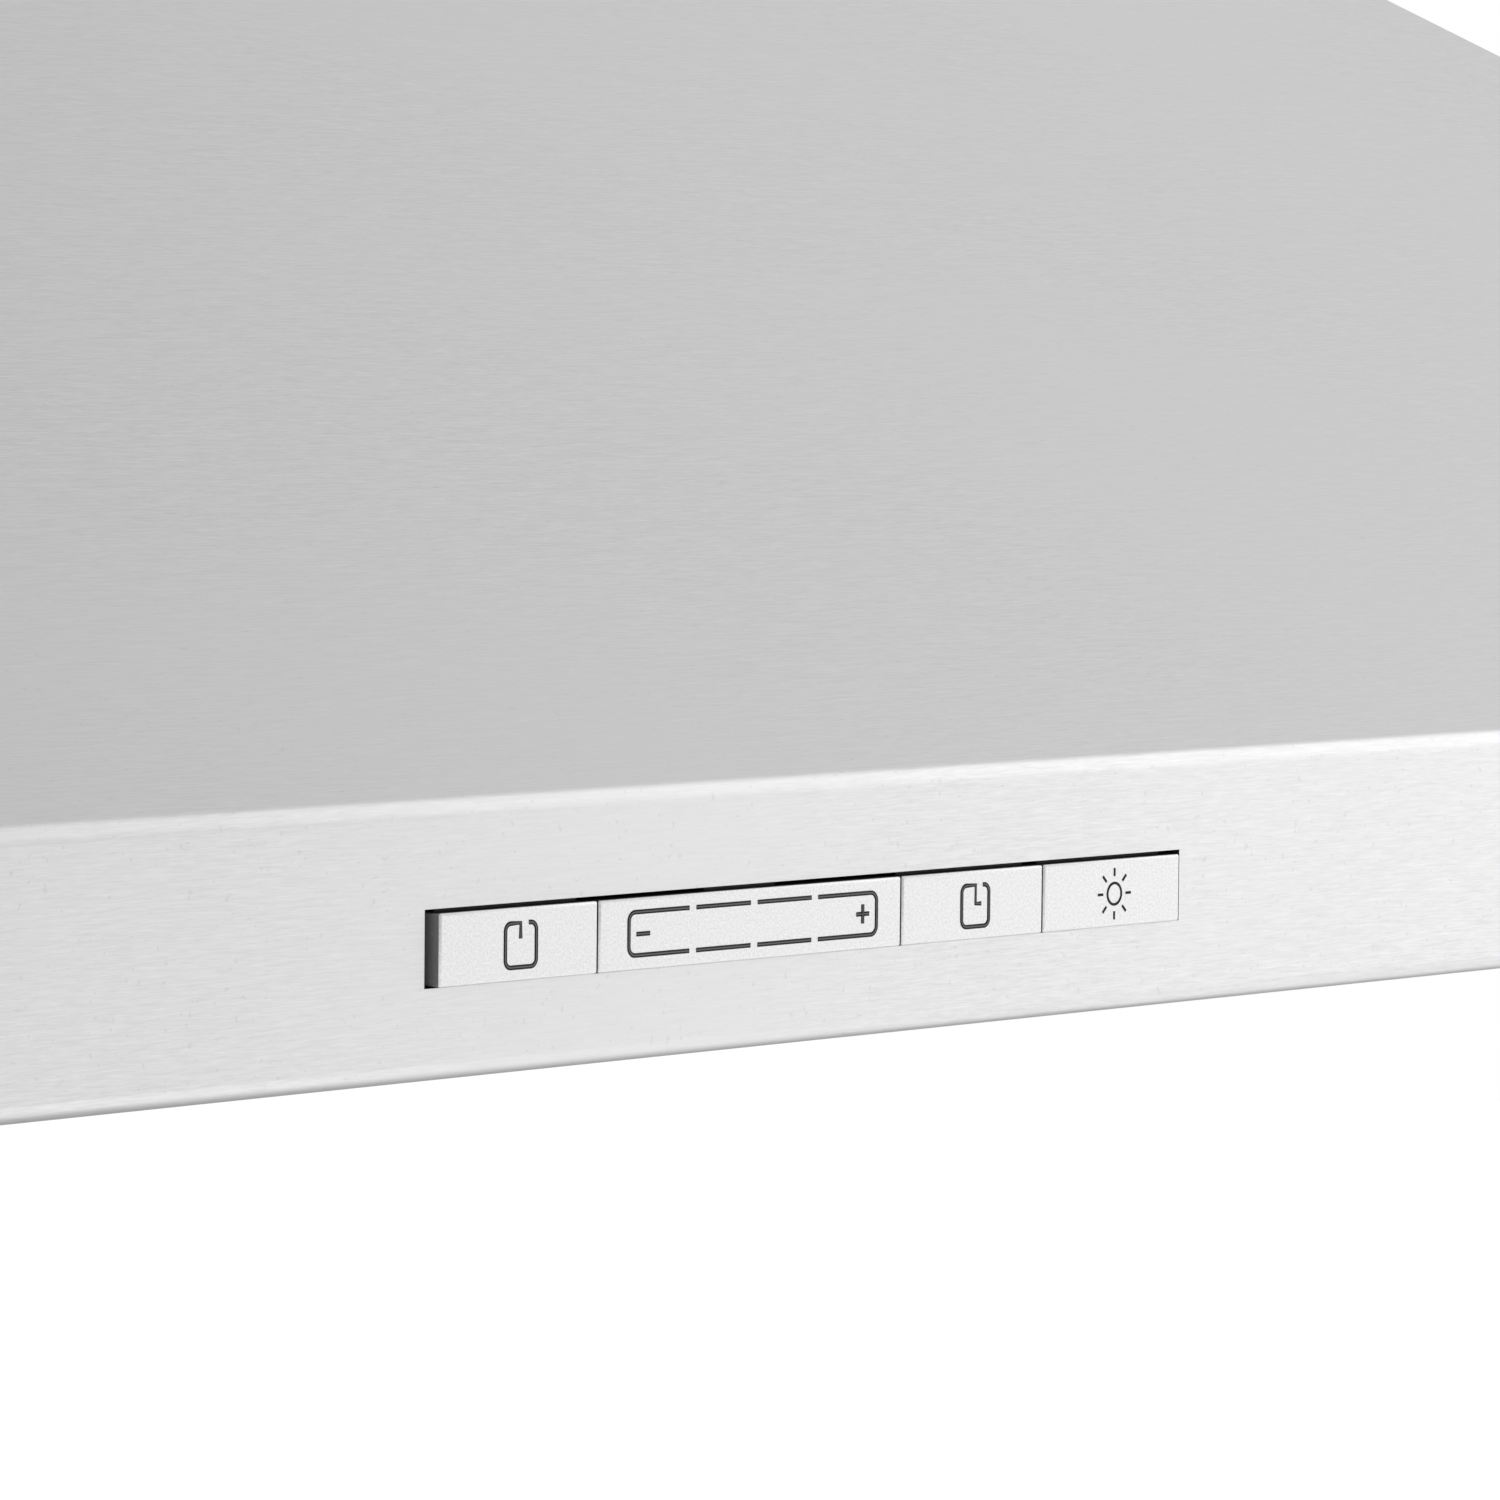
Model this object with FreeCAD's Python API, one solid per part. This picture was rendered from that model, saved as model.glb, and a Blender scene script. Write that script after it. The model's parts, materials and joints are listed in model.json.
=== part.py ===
import FreeCAD, Part
import math
import os

# Under cabinet range hood, in millimetres: +X right, +Y towards the wall, +Z up.
# The origin is the centre of the four cabinet screw holes, on the top face of the canopy.
# The front of the hood faces -Y. The casing hangs below z = 0, and the duct collar stands above it.

V = FreeCAD.Vector
X_AXIS, Y_AXIS, Z_AXIS = V(1, 0, 0), V(0, 1, 0), V(0, 0, 1)

# Casing
WIDTH = 914.0
HALF = WIDTH / 2
SHEET = 1.0
BACK_Y = 150.0
FOLD_Y = -130.0
FRONT_Y = -409.0
SLOPE_DEG = 22.57
LIP_HEIGHT = 30.5
FOLD_RADIUS = 2.5
HEM_RADIUS = 2.0
RETURN_DEPTH = 16.0
SIDE_RETURN = 12.0
BEND_Z = -(FOLD_Y - FRONT_Y) * math.tan(math.radians(SLOPE_DEG))
BOTTOM_Z = BEND_Z - LIP_HEIGHT
FLANGE_TOP_Z = BOTTOM_Z + SHEET

# Cabinet screws, wiring hole and rivets
SCREW_SPACING_X = 711.0
SCREW_SPACING_Y = 200.0
SCREW_HOLE_R = 2.75
KNOCKOUT_R = 11.1
KNOCKOUT_X, KNOCKOUT_Z = 335.0, -30.0
RIVET_R = 1.6
RIVET_SLACK = 0.1
RIVET_HEAD_R = 3.2
RIVET_HEAD_H = 0.8
RIVET_TAIL_R = 2.4
RIVET_TAIL_H = 0.6
SHEET_SCREW_R = 1.5
MOTOR_SCREW_SHANK_R = 1.85
HEAD_TO_SHANK = 2.0
HEAD_HEIGHT_SHARE = 1.3
SLOT_SHARE = 0.35

# Key strip, measured from the middle of the lip
STRIP_Z = BEND_Z - 15.96
KEY_EDGES = (-63.9, -38.83, 12.6, 38.3, 63.9)
KEY_NAMES = ("power_key", "speed_rocker", "timer_key", "light_key")
KEY_HEIGHT = 7.96
KEY_GAP = 0.3
KEY_PROUD = 1.0
KEY_DEPTH = 7.0
KEY_EDGE_R = 0.35
KEY_FLANGE = 1.0
KEY_FLANGE_INSET = 1.2
CUTOUT_HALF_X = 65.3
CUTOUT_TOP = 4.48
CUTOUT_BOTTOM = -4.2
KEY_FRONT_Y = FRONT_Y - KEY_PROUD
KEY_BACK_Y = KEY_FRONT_Y + KEY_DEPTH
MODULE_HALF_X = 80.0
MODULE_HALF_Z = 8.5
MODULE_FRONT_Y = FRONT_Y + SHEET
BOARD_FRONT_Y = MODULE_FRONT_Y + 10.0
BOARD_THICK = 1.6
BOARD_BACK_Y = BOARD_FRONT_Y + BOARD_THICK
BOARD_HALF_X = 71.5
COVER_BACK_Y = BOARD_BACK_Y + 10.4
STEM_R = 1.75
STEM_END_Y = BOARD_FRONT_Y - 2.0
SWITCH_H = 3.4
ROCKER_X = (KEY_EDGES[1] + KEY_EDGES[2]) / 2
ROCKER_PIN_Y = KEY_FRONT_Y + 5.6
ROCKER_PIN_R = 0.8
ROCKER_STEM_OFFSET = 18.0
ROCKER_FLANGE = 6.0
EAR_HALF = 2.2
MODULE_OPENING_X, MODULE_OPENING_Z = 66.0, 6.0
SWITCH_HALF = 3.0
SOCKET_X = (32.0, 48.0)
SOCKET_DEPTH = 6.0
COVER_WALL = 1.2
COVER_EAR = 2.0
CONTROL_SCREW_R = 1.15
MODULE_SCREW_X = 76.0
CABLE_Y = COVER_BACK_Y - 4.6

# Bottom pan and filters
PAN_Z = BOTTOM_Z + 20.5
PAN_FRONT_Y, PAN_BACK_Y = FRONT_Y + 37.0, BACK_Y - 16.0
PAN_HALF_X = 436.0
RIM_HALF_X = HALF - SHEET - 0.6
RIM_FRONT_Y, RIM_BACK_Y = FRONT_Y + 6.0, BACK_Y - 1.6
OPENING_X = (10.0, 420.0)
OPENING_Y = (-255.0, 115.0)
FILTER_GAP = 1.5
FILTER_THICK = 10.0
FILTER_SHEET = 0.8
FILTER_RIM = 8.0
HINGE_WIRE_R = 1.2
HINGE_OFFSET = 140.0
HINGE_HALF = 16.0
TAB_HALF = 12.0
TAB_THICK = 2.3
TAB_REACH = 7.0
BAFFLES = 12
BAFFLE_WIDTH = 20.0
BAFFLE_RISE = 3.8
RING_AXIS_Y = -236.0
RING_DROP = 12.0
RING_WIDTH = 50.0
RING_WIRE_R = 1.5
RING_CORNER_R = 6.0
RING_EYE_BEND_R = 2.5
LUG_R, LUG_HALF, LUG_INSET = 2.6, 4.0, 7.0
HANDLE_HALF_X, HANDLE_HALF_Y = 38.0, 11.0
CLIP_HALF, CLIP_Z = 9.0, (2.0, 8.0)
LAMP_X, LAMP_Y = 300.0, -315.0
LAMP_HOLE_R = 30.0
BEZEL_R, BEZEL_DROP = 36.0, 3.2
LENS_R = 27.0
NECK_R = 29.6
SINK_R, SINK_Z = 29.0, (3.0, 8.0)
FIN_HALF_Y, FIN_TOP, FIN_PITCH = 20.0, 20.0, 6

# Blower
WHEEL_X, WHEEL_Y = -190.0, -13.0
WHEEL_R, WHEEL_EYE_R = 85.0, 66.0
BLADES = 36
BLOWER_TOP_Z, BLOWER_BASE_Z = -16.0, -96.0
PLATE = 1.0
SCROLL_WALL = 0.8
SCROLL_MIN, SCROLL_MAX = 93.0, 152.0
TONGUE_DEG, SCROLL_END_DEG = 50.0, -270.0
INLET_R = 62.0
SHAFT_R = 4.0
CAN_WALL, CAN_END = 2.5, 7.0
ROTOR_R, STATOR_BORE_R, CORE_INSET = 20.0, 21.0, 10.0
CUP_R, CUP_WALL = 46.0, 1.5
BOSS_R, BOSS_LENGTH = 10.0, 12.0
NUT_R, NUT_HEIGHT = 7.5, 5.0
WHEEL_GAP_TOP, WHEEL_GAP_BASE = 8.0, 12.0
BLADE_LEAD = (0.0, 5.5, 6.0)
BLADE_THICK_DEG = 1.1
SHAFT_SLACK = 0.05
MOTOR_R = 40.0
MOTOR_TOP_Z, MOTOR_BASE_Z = -17.0, -60.0
BEARING_R = 8.0
MOTOR_SCREW_R = 34.0

# Air outlet
DUCT_Y = 60.0
COLLAR_R = 75.0
COLLAR_WALL = 0.8
COLLAR_HEIGHT = 46.0
COLLAR_FLANGE_R = 88.0
COLLAR_FLANGE = 1.2
COLLAR_SCREW_R = 81.5
DAMPER_Z = 20.0
DAMPER_PIN_R = 1.5
FLAP_R = 73.4
FLAP_SHEET = 0.6
KNUCKLE_R = 2.2
SEAL_WIDTH, SEAL_HEIGHT = 6.2, 3.0
FLAP_DROP = 2.2
BOX_HALF_X = 80.0
BOX_FRONT_Y = -20.0

PARTS = {}


def box(x0, x1, y0, y1, z0, z1):
    """Box between two opposite corners."""
    return Part.makeBox(x1 - x0, y1 - y0, z1 - z0, V(x0, y0, z0))


def rod(radius, start, end):
    """Round bar from start to end."""
    run = end - start
    return Part.makeCylinder(radius, run.Length, start, run)


def tube(outer, inner, start, end):
    """Round tube from start to end."""
    return rod(outer, start, end).cut(rod(inner, start, end))


def add(name, *shapes):
    """Store a node, joining several solids as one group."""
    solids = [solid for shape in shapes for solid in shape.Solids]
    PARTS[name] = solids[0] if len(solids) == 1 else Part.makeCompound(solids)


def fuse(shapes):
    """One solid from overlapping shapes, with merged faces."""
    return shapes[0].multiFuse(shapes[1:]).removeSplitter()


def drill(shape, radius, centres, axis, depth):
    """Cut round holes of one radius, each centred on its point along the axis."""
    half = axis * (depth / 2)
    return shape.cut([rod(radius, c - half, c + half) for c in centres])


def mirror_x(shape):
    """Copy of a shape on the other side of the middle."""
    return shape.mirror(V(0, 0, 0), X_AXIS)


# Bent sheet metal

def offset_path(points, distance):
    """Open path moved to its left by a distance, given as (y, z) points."""
    lines = []
    for (y0, z0), (y1, z1) in zip(points, points[1:]):
        length = math.hypot(y1 - y0, z1 - z0)
        run = ((y1 - y0) / length, (z1 - z0) / length)
        lines.append(((y0 - run[1] * distance, z0 + run[0] * distance), run))
    moved = [lines[0][0]]
    for (p, a), (q, b) in zip(lines, lines[1:]):
        cross = a[0] * b[1] - a[1] * b[0]
        reach = ((q[0] - p[0]) * b[1] - (q[1] - p[1]) * b[0]) / cross
        moved.append((p[0] + a[0] * reach, p[1] + a[1] * reach))
    end, run = points[-1], lines[-1][1]
    moved.append((end[0] - run[1] * distance, end[1] + run[0] * distance))
    return moved


def rounded_edges(points, radii, x):
    """Edges of a path that turns left at each inner point, with its corners rounded."""
    at = [V(x, y, z) for y, z in points]
    edges, last = [], at[0]
    for before, corner, after, radius in zip(at, at[1:], at[2:], radii):
        a, b = (corner - before).normalize(), (after - corner).normalize()
        cut = radius * math.tan(a.getAngle(b) / 2)
        start, end = corner - a * cut, corner + b * cut
        centre = start + X_AXIS.cross(a) * radius
        middle = centre + (corner - centre).normalize() * radius
        edges += [Part.LineSegment(last, start).toShape(), Part.Arc(start, middle, end).toShape()]
        last = end
    return edges + [Part.LineSegment(last, at[-1]).toShape()]


def prism(edges, length):
    """Solid of a flat closed outline pushed along +X."""
    return Part.Face(Part.Wire(Part.__sortEdges__(edges))).extrude(X_AXIS * length)


CASING_PATH = [(BACK_Y, 0.0), (FOLD_Y, 0.0), (FRONT_Y, BEND_Z), (FRONT_Y, BOTTOM_Z),
               (FRONT_Y + RETURN_DEPTH, BOTTOM_Z)]
CASING_RADII = [FOLD_RADIUS, FOLD_RADIUS, HEM_RADIUS]
INNER_PATH = offset_path(CASING_PATH, SHEET)
INNER_RADII = [radius - SHEET for radius in CASING_RADII]


def line(x, start, end):
    """Straight edge between two (y, z) points at one x."""
    return Part.LineSegment(V(x, *start), V(x, *end)).toShape()


def screw_points():
    """Centres of the four cabinet screw holes."""
    return [V(sx * SCREW_SPACING_X / 2, sy * SCREW_SPACING_Y / 2, 0) for sx in (-1, 1) for sy in (-1, 1)]


SIDE_RIVET_Y = (-105.0, -30.0, 45.0, 120.0)
SIDE_RIVET_X = HALF - SHEET - SIDE_RETURN / 2
BACK_RIVETS = ((-400.0, 143.0), (-250.0, 143.0), (180.0, 143.0), (420.0, 143.0))


def top_rivet_points():
    """Rivets that hold the top sheet to the side and back flanges."""
    sides = [V(sx * SIDE_RIVET_X, y, 0) for sx in (-1, 1) for y in SIDE_RIVET_Y]
    return sides + [V(x, y, 0) for x, y in BACK_RIVETS]


def collar_screw_points():
    """Screws through the collar flange."""
    step = COLLAR_SCREW_R / math.sqrt(2)
    return [V(sx * step, DUCT_Y + sy * step, 0) for sx in (-1, 1) for sy in (-1, 1)]


def make_canopy():
    """Front lip, sloped top and flat top, bent from one sheet."""
    outer = rounded_edges(CASING_PATH, CASING_RADII, -HALF)
    inner = rounded_edges(INNER_PATH, INNER_RADII, -HALF)
    ends = [line(-HALF, CASING_PATH[0], INNER_PATH[0]), line(-HALF, CASING_PATH[-1], INNER_PATH[-1])]
    sheet = prism(outer + inner + ends, WIDTH)
    sheet = sheet.cut(box(-CUTOUT_HALF_X, CUTOUT_HALF_X, FRONT_Y - 5, FRONT_Y + 5,
                          STRIP_Z + CUTOUT_BOTTOM, STRIP_Z + CUTOUT_TOP))
    sheet = drill(sheet, SCREW_HOLE_R, screw_points(), Z_AXIS, 10)
    sheet = drill(sheet, COLLAR_R - COLLAR_WALL, [V(0, DUCT_Y, 0)], Z_AXIS, 10)
    sheet = drill(sheet, RIVET_R, top_rivet_points() + pan_rivet_points(), Z_AXIS, 4)
    add("canopy", drill(sheet, RIVET_R, collar_screw_points(), Z_AXIS, 10))


PAN_RIVETS_SIDE = (-340.0, -180.0, -20.0, 120.0)
PAN_RIVETS_BACK = (-300.0, -100.0, 100.0, 300.0)
PAN_RIVETS_FRONT = (-380.0, -230.0, 230.0, 380.0)


def pan_rivet_points():
    """Rivets that hold the pan rim to the bottom flanges."""
    sides = [V(sx * SIDE_RIVET_X, y, BOTTOM_Z) for sx in (-1, 1) for y in PAN_RIVETS_SIDE]
    back = [V(x, BACK_Y - SHEET - SIDE_RETURN / 2, BOTTOM_Z) for x in PAN_RIVETS_BACK]
    front = [V(x, FRONT_Y + RETURN_DEPTH - 5.0, BOTTOM_Z) for x in PAN_RIVETS_FRONT]
    return sides + back + front


def make_side_panels():
    """Flat sides with a riveting flange at the top and a safe return at the bottom."""
    x = HALF - SHEET
    low, back = (INNER_PATH[-1][0], BOTTOM_Z), (BACK_Y, BOTTOM_Z)
    outline = rounded_edges(INNER_PATH, INNER_RADII, x)
    outline += [line(x, INNER_PATH[-1], low), line(x, low, back), line(x, back, INNER_PATH[0])]
    top = box(x - SIDE_RETURN, x, FOLD_Y + 6, BACK_Y - 2 * SHEET, -2 * SHEET, -SHEET)
    bottom = box(x - SIDE_RETURN, x, FRONT_Y + RETURN_DEPTH + 1, BACK_Y - 2 * SHEET, BOTTOM_Z, FLANGE_TOP_Z)
    panel = fuse([prism(outline, SHEET), top, bottom])
    panel = drill(panel, RIVET_R, top_rivet_points(), Z_AXIS, 10)
    panel = drill(panel, RIVET_R, pan_rivet_points(), Z_AXIS, 10)
    add("right_side_panel", panel)
    add("left_side_panel", mirror_x(panel))


REAR_COVER_SCREWS = [(sx * 132.5, z) for sx in (-1, 1) for z in (-86.0, -10.0)]
OUTLET_HALF_X = 127.0
OUTLET_Z = (-89.0, -7.0)
COVER_LAP_X, COVER_LAP_Z = 11.0, 4.0
TOP_FLANGES = ((-443.0, -140.0), (140.0, 262.0), (404.0, 443.0))


def rear_cover_points():
    """Screws of the plate that closes the rear outlet."""
    return [V(x, BACK_Y, z) for x, z in REAR_COVER_SCREWS]


def make_back():
    """Back panel with its wiring hole, and the plate over its rear outlet."""
    x, y = HALF - SHEET, BACK_Y - SHEET
    wall = box(-x, x, y, BACK_Y, BOTTOM_Z, -SHEET)
    wall = wall.cut(box(-OUTLET_HALF_X, OUTLET_HALF_X, y - 5, BACK_Y + 5, *OUTLET_Z))
    bottom = box(-x + SIDE_RETURN + 0.5, x - SIDE_RETURN - 0.5, y - SIDE_RETURN, y, BOTTOM_Z, FLANGE_TOP_Z)
    tops = [box(x0, x1, y - SIDE_RETURN, y, -2 * SHEET, -SHEET) for x0, x1 in TOP_FLANGES]
    wall = fuse([wall, bottom] + tops)
    wall = drill(wall, RIVET_R, top_rivet_points() + pan_rivet_points(), Z_AXIS, 10)
    wall = drill(wall, RIVET_R, rear_cover_points(), Y_AXIS, 10)
    add("back_panel", drill(wall, KNOCKOUT_R, [V(KNOCKOUT_X, BACK_Y, KNOCKOUT_Z)], Y_AXIS, 10))
    reach = OUTLET_HALF_X + COVER_LAP_X
    cover = box(-reach, reach, y - SHEET, y, OUTLET_Z[0] - COVER_LAP_Z, OUTLET_Z[1] + COVER_LAP_Z)
    add("rear_outlet_cover", drill(cover, RIVET_R, rear_cover_points(), Y_AXIS, 10))


def rivet(point, axis, grip):
    """Domed rivet whose head sits on the point and whose body runs back along the axis."""
    shank = rod(RIVET_R - RIVET_SLACK, point - axis * grip, point)
    head = rod(RIVET_HEAD_R, point, point + axis * RIVET_HEAD_H)
    rim = max(head.Edges, key=lambda edge: edge.CenterOfMass.dot(axis))
    head = head.makeChamfer(RIVET_HEAD_H * 0.6, [rim])
    tail = rod(RIVET_TAIL_R, point - axis * (grip + RIVET_TAIL_H), point - axis * grip)
    return fuse([shank, head, tail])


def make_fasteners():
    """Rivets and screws of the casing, one group for each place."""
    top = [rivet(p, Z_AXIS, 2 * SHEET) for p in top_rivet_points()]
    add("casing_rivets", *top, *[rivet(p, -Z_AXIS, 2 * SHEET) for p in pan_rivet_points()])
    inner = BACK_Y - 2 * SHEET
    cover = [screw(V(p.x, inner, p.z), -Y_AXIS, SHEET_SCREW_R, 2 * SHEET) for p in rear_cover_points()]
    collar = [screw(p + Z_AXIS * COLLAR_FLANGE, Z_AXIS, SHEET_SCREW_R, 6.0) for p in collar_screw_points()]
    motor = [screw(p, Z_AXIS, MOTOR_SCREW_SHANK_R, 6.5) for p in motor_screw_points(BLOWER_TOP_Z)]
    add("sheet_screws", *cover, *collar, *motor)


def screw(seat, axis, radius, length):
    """Pan head screw: the head stands on the seat along the axis, the shank goes the other way."""
    top = seat + axis * (radius * HEAD_HEIGHT_SHARE)
    head = rod(radius * HEAD_TO_SHANK, seat, top)
    slot = rod(radius * SLOT_SHARE, top - X_AXIS * radius, top + X_AXIS * radius)
    return fuse([head, rod(radius, seat - axis * length, seat)]).cut(slot)


# Key strip

def key_blank(x0, x1, flange_x0, flange_x1):
    """Key with softened front edges and a flange that stops it falling out of the lip."""
    half = KEY_HEIGHT / 2
    cap = box(x0, x1, KEY_FRONT_Y, KEY_BACK_Y, STRIP_Z - half, STRIP_Z + half)
    front = [e for e in cap.Edges if abs(e.CenterOfMass.y - KEY_FRONT_Y) < 0.01]
    corners = [e for e in cap.Edges if abs(e.tangentAt(e.FirstParameter).y) > 0.9]
    cap = cap.makeFillet(KEY_EDGE_R, front + corners)
    flange_y = MODULE_FRONT_Y + 0.2
    flange = box(flange_x0, flange_x1, flange_y, flange_y + KEY_FLANGE, STRIP_Z - half - KEY_FLANGE,
                 STRIP_Z + half + KEY_FLANGE)
    return fuse([cap, flange])


def stem(x):
    """Moulded post on the back of a key, which pushes its switch."""
    return rod(STEM_R, V(x, KEY_BACK_Y - 1, STRIP_Z), V(x, STEM_END_Y, STRIP_Z))


def key_span(index):
    """Left and right end of a key, with half a gap on each shared side."""
    left, right = KEY_EDGES[index], KEY_EDGES[index + 1]
    last = len(KEY_NAMES) - 1
    return left + (KEY_GAP / 2 if index else 0), right - (KEY_GAP / 2 if index < last else 0)


def stem_places(index):
    """Where each key has its posts along X."""
    left, right = key_span(index)
    if KEY_NAMES[index] == "speed_rocker":
        return [ROCKER_X - ROCKER_STEM_OFFSET, ROCKER_X + ROCKER_STEM_OFFSET]
    return [(left + right) / 2]


def make_keys():
    """Four keys with their posts; the wide one rocks on an upright pin."""
    for index, name in enumerate(KEY_NAMES):
        left, right = key_span(index)
        if name != "speed_rocker":
            key = key_blank(left, right, left + KEY_FLANGE_INSET, right - KEY_FLANGE_INSET)
        else:
            key = key_blank(left, right, ROCKER_X - ROCKER_FLANGE, ROCKER_X + ROCKER_FLANGE)
            pin = V(ROCKER_X, ROCKER_PIN_Y, STRIP_Z)
            ear = box(ROCKER_X - EAR_HALF, ROCKER_X + EAR_HALF, ROCKER_PIN_Y - 1, ROCKER_PIN_Y + EAR_HALF,
                      STRIP_Z - 2.5, STRIP_Z + 2.5)
            key = drill(fuse([key, ear]), ROCKER_PIN_R + SHAFT_SLACK, [pin], Z_AXIS, 20)
        add(name, fuse([key] + [stem(x) for x in stem_places(index)]))


def make_key_frame(low, high):
    """Moulded frame behind the lip, and the pin that the wide key rocks on."""
    frame = box(-MODULE_HALF_X, MODULE_HALF_X, MODULE_FRONT_Y, BOARD_FRONT_Y, low, high)
    frame = frame.cut(box(-MODULE_OPENING_X, MODULE_OPENING_X, MODULE_FRONT_Y - 1, BOARD_FRONT_Y + 1,
                          STRIP_Z - MODULE_OPENING_Z, STRIP_Z + MODULE_OPENING_Z))
    pin = V(ROCKER_X, ROCKER_PIN_Y, STRIP_Z)
    frame = drill(frame, ROCKER_PIN_R, [pin], Z_AXIS, 15)
    add("key_frame", drill(frame, 1.2, control_screw_points(), Y_AXIS, 12))
    add("rocker_pin", rod(ROCKER_PIN_R, pin - Z_AXIS * 7.5, pin + Z_AXIS * 7.5))


def control_screw_points():
    """Screws that hold the rear cover and the board to the key frame."""
    return [V(sx * MODULE_SCREW_X, BOARD_FRONT_Y, STRIP_Z) for sx in (-1, 1)]


def switch_body(x):
    """One switch on the board, open at the front for the key's post."""
    body = box(x - SWITCH_HALF, x + SWITCH_HALF, BOARD_FRONT_Y - SWITCH_H, BOARD_FRONT_Y,
               STRIP_Z - SWITCH_HALF, STRIP_Z + SWITCH_HALF)
    return body.cut(rod(STEM_R + 0.35, V(x, BOARD_FRONT_Y - SWITCH_H - 1, STRIP_Z),
                        V(x, BOARD_FRONT_Y - 0.8, STRIP_Z)))


def make_control_cover(low, high):
    """Rear cover over the board, with two screw ears and a notch for the lead."""
    cover = box(-BOARD_HALF_X - 1, BOARD_HALF_X + 1, BOARD_BACK_Y, COVER_BACK_Y, low, high)
    cover = cover.cut(box(-BOARD_HALF_X + 1.5, BOARD_HALF_X - 1.5, BOARD_BACK_Y - 1,
                          COVER_BACK_Y - COVER_WALL, low + 2, high - 2))
    ears = box(-MODULE_HALF_X, MODULE_HALF_X, BOARD_BACK_Y, BOARD_BACK_Y + COVER_EAR, low, high)
    ears = ears.cut(box(-71, 71, BOARD_BACK_Y - 1, BOARD_BACK_Y + COVER_EAR + 1, low - 1, high + 1))
    cover = drill(fuse([cover, ears]), 1.5, control_screw_points(), Y_AXIS, 12)
    exit_x = sum(SOCKET_X) / 2
    add("control_cover", cover.cut(rod(CABLE_R + 0.1, V(exit_x, CABLE_Y, STRIP_Z),
                                       V(exit_x, CABLE_Y, high + 1))))


def make_control_module():
    """Frame, rocker pin, board with its socket, switches and cover behind the lip."""
    low, high = STRIP_Z - MODULE_HALF_Z, STRIP_Z + MODULE_HALF_Z
    make_key_frame(low, high)
    board = box(-BOARD_HALF_X, BOARD_HALF_X, BOARD_FRONT_Y, BOARD_BACK_Y, low + 1, high - 1)
    socket = box(*SOCKET_X, BOARD_BACK_Y, BOARD_BACK_Y + SOCKET_DEPTH, STRIP_Z - 4, STRIP_Z + 4)
    add("control_board", fuse([board, socket]))
    places = [x for index in range(len(KEY_NAMES)) for x in stem_places(index)]
    add("switch_bodies", *[switch_body(x) for x in places])
    make_control_cover(low, high)
    seats = [V(p.x, BOARD_BACK_Y + COVER_EAR, STRIP_Z) for p in control_screw_points()]
    add("control_screws", *[screw(p, Y_AXIS, CONTROL_SCREW_R, 8.0) for p in seats])


# Pan, lamps and filters

def hinge_places():
    """Middle of each filter tab and of the wire that it hooks over, along X."""
    middle = sum(OPENING_X) / 2
    return [side * middle + dx for side in (-1, 1) for dx in (-HINGE_OFFSET, HINGE_OFFSET)]


def hinge_wire(x, radius, half):
    """Round wire along an opening's rear edge, on the line that the filters turn about."""
    return rod(radius, V(x - half, OPENING_Y[1], PAN_Z), V(x + half, OPENING_Y[1], PAN_Z))


def make_pan():
    """Recessed bottom pan: rim on the flanges, walls, and a ceiling with filter and lamp openings."""
    rim = box(-RIM_HALF_X, RIM_HALF_X, RIM_FRONT_Y, RIM_BACK_Y, FLANGE_TOP_Z, FLANGE_TOP_Z + SHEET)
    tray = box(-PAN_HALF_X, PAN_HALF_X, PAN_FRONT_Y, PAN_BACK_Y, FLANGE_TOP_Z, PAN_Z)
    hollow = box(-PAN_HALF_X + SHEET, PAN_HALF_X - SHEET, PAN_FRONT_Y + SHEET, PAN_BACK_Y - SHEET,
                 FLANGE_TOP_Z - 1, PAN_Z - SHEET)
    pan = fuse([rim, tray]).cut(hollow)
    for side in (-1, 1):
        x0, x1 = sorted(side * x for x in OPENING_X)
        curb = box(x0 - SHEET, x1 + SHEET, OPENING_Y[0] - SHEET, OPENING_Y[1], PAN_Z - SHEET, PAN_Z + 8)
        rear = box(x0 - 2, x1 + 2, OPENING_Y[1] - SHEET, OPENING_Y[1] + 5, PAN_Z, PAN_Z + 9)
        hole = box(x0, x1, OPENING_Y[0], OPENING_Y[1], PAN_Z - 5, PAN_Z + 10)
        pan = pan.fuse(curb.cut(rear)).cut(hole)
    lamps = [V(side * LAMP_X, LAMP_Y, PAN_Z) for side in (-1, 1)]
    pan = drill(fuse([pan] + [hinge_wire(x, HINGE_WIRE_R, HINGE_HALF) for x in hinge_places()]),
                LAMP_HOLE_R, lamps, Z_AXIS, 10)
    add("bottom_pan", drill(pan, RIVET_R, pan_rivet_points(), Z_AXIS, 10))


def make_lamp(side):
    """Round lamp: bezel under the pan, frosted lens and finned heat sink above it."""
    def at(z):
        return V(side * LAMP_X, LAMP_Y, PAN_Z + z)
    face = tube(BEZEL_R, LENS_R - 1, at(-BEZEL_DROP), at(-SHEET))
    bezel = fuse([face, tube(NECK_R, LENS_R + 0.2, at(-SHEET), at(SINK_Z[0]))])
    rim = [e for e in bezel.Edges if abs(e.CenterOfMass.z - at(-BEZEL_DROP).z) < 0.01]
    lens = rod(LENS_R, at(-SHEET), at(1.2))
    fin_places = [side * LAMP_X + i * FIN_PITCH for i in range(-3, 4)]
    fins = [box(x - 1, x + 1, LAMP_Y - FIN_HALF_Y, LAMP_Y + FIN_HALF_Y, PAN_Z + SINK_Z[1] - 1,
                PAN_Z + FIN_TOP) for x in fin_places]
    return bezel.makeChamfer(0.8, rim), lens, fuse([rod(SINK_R, at(SINK_Z[0]), at(SINK_Z[1]))] + fins)


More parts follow.
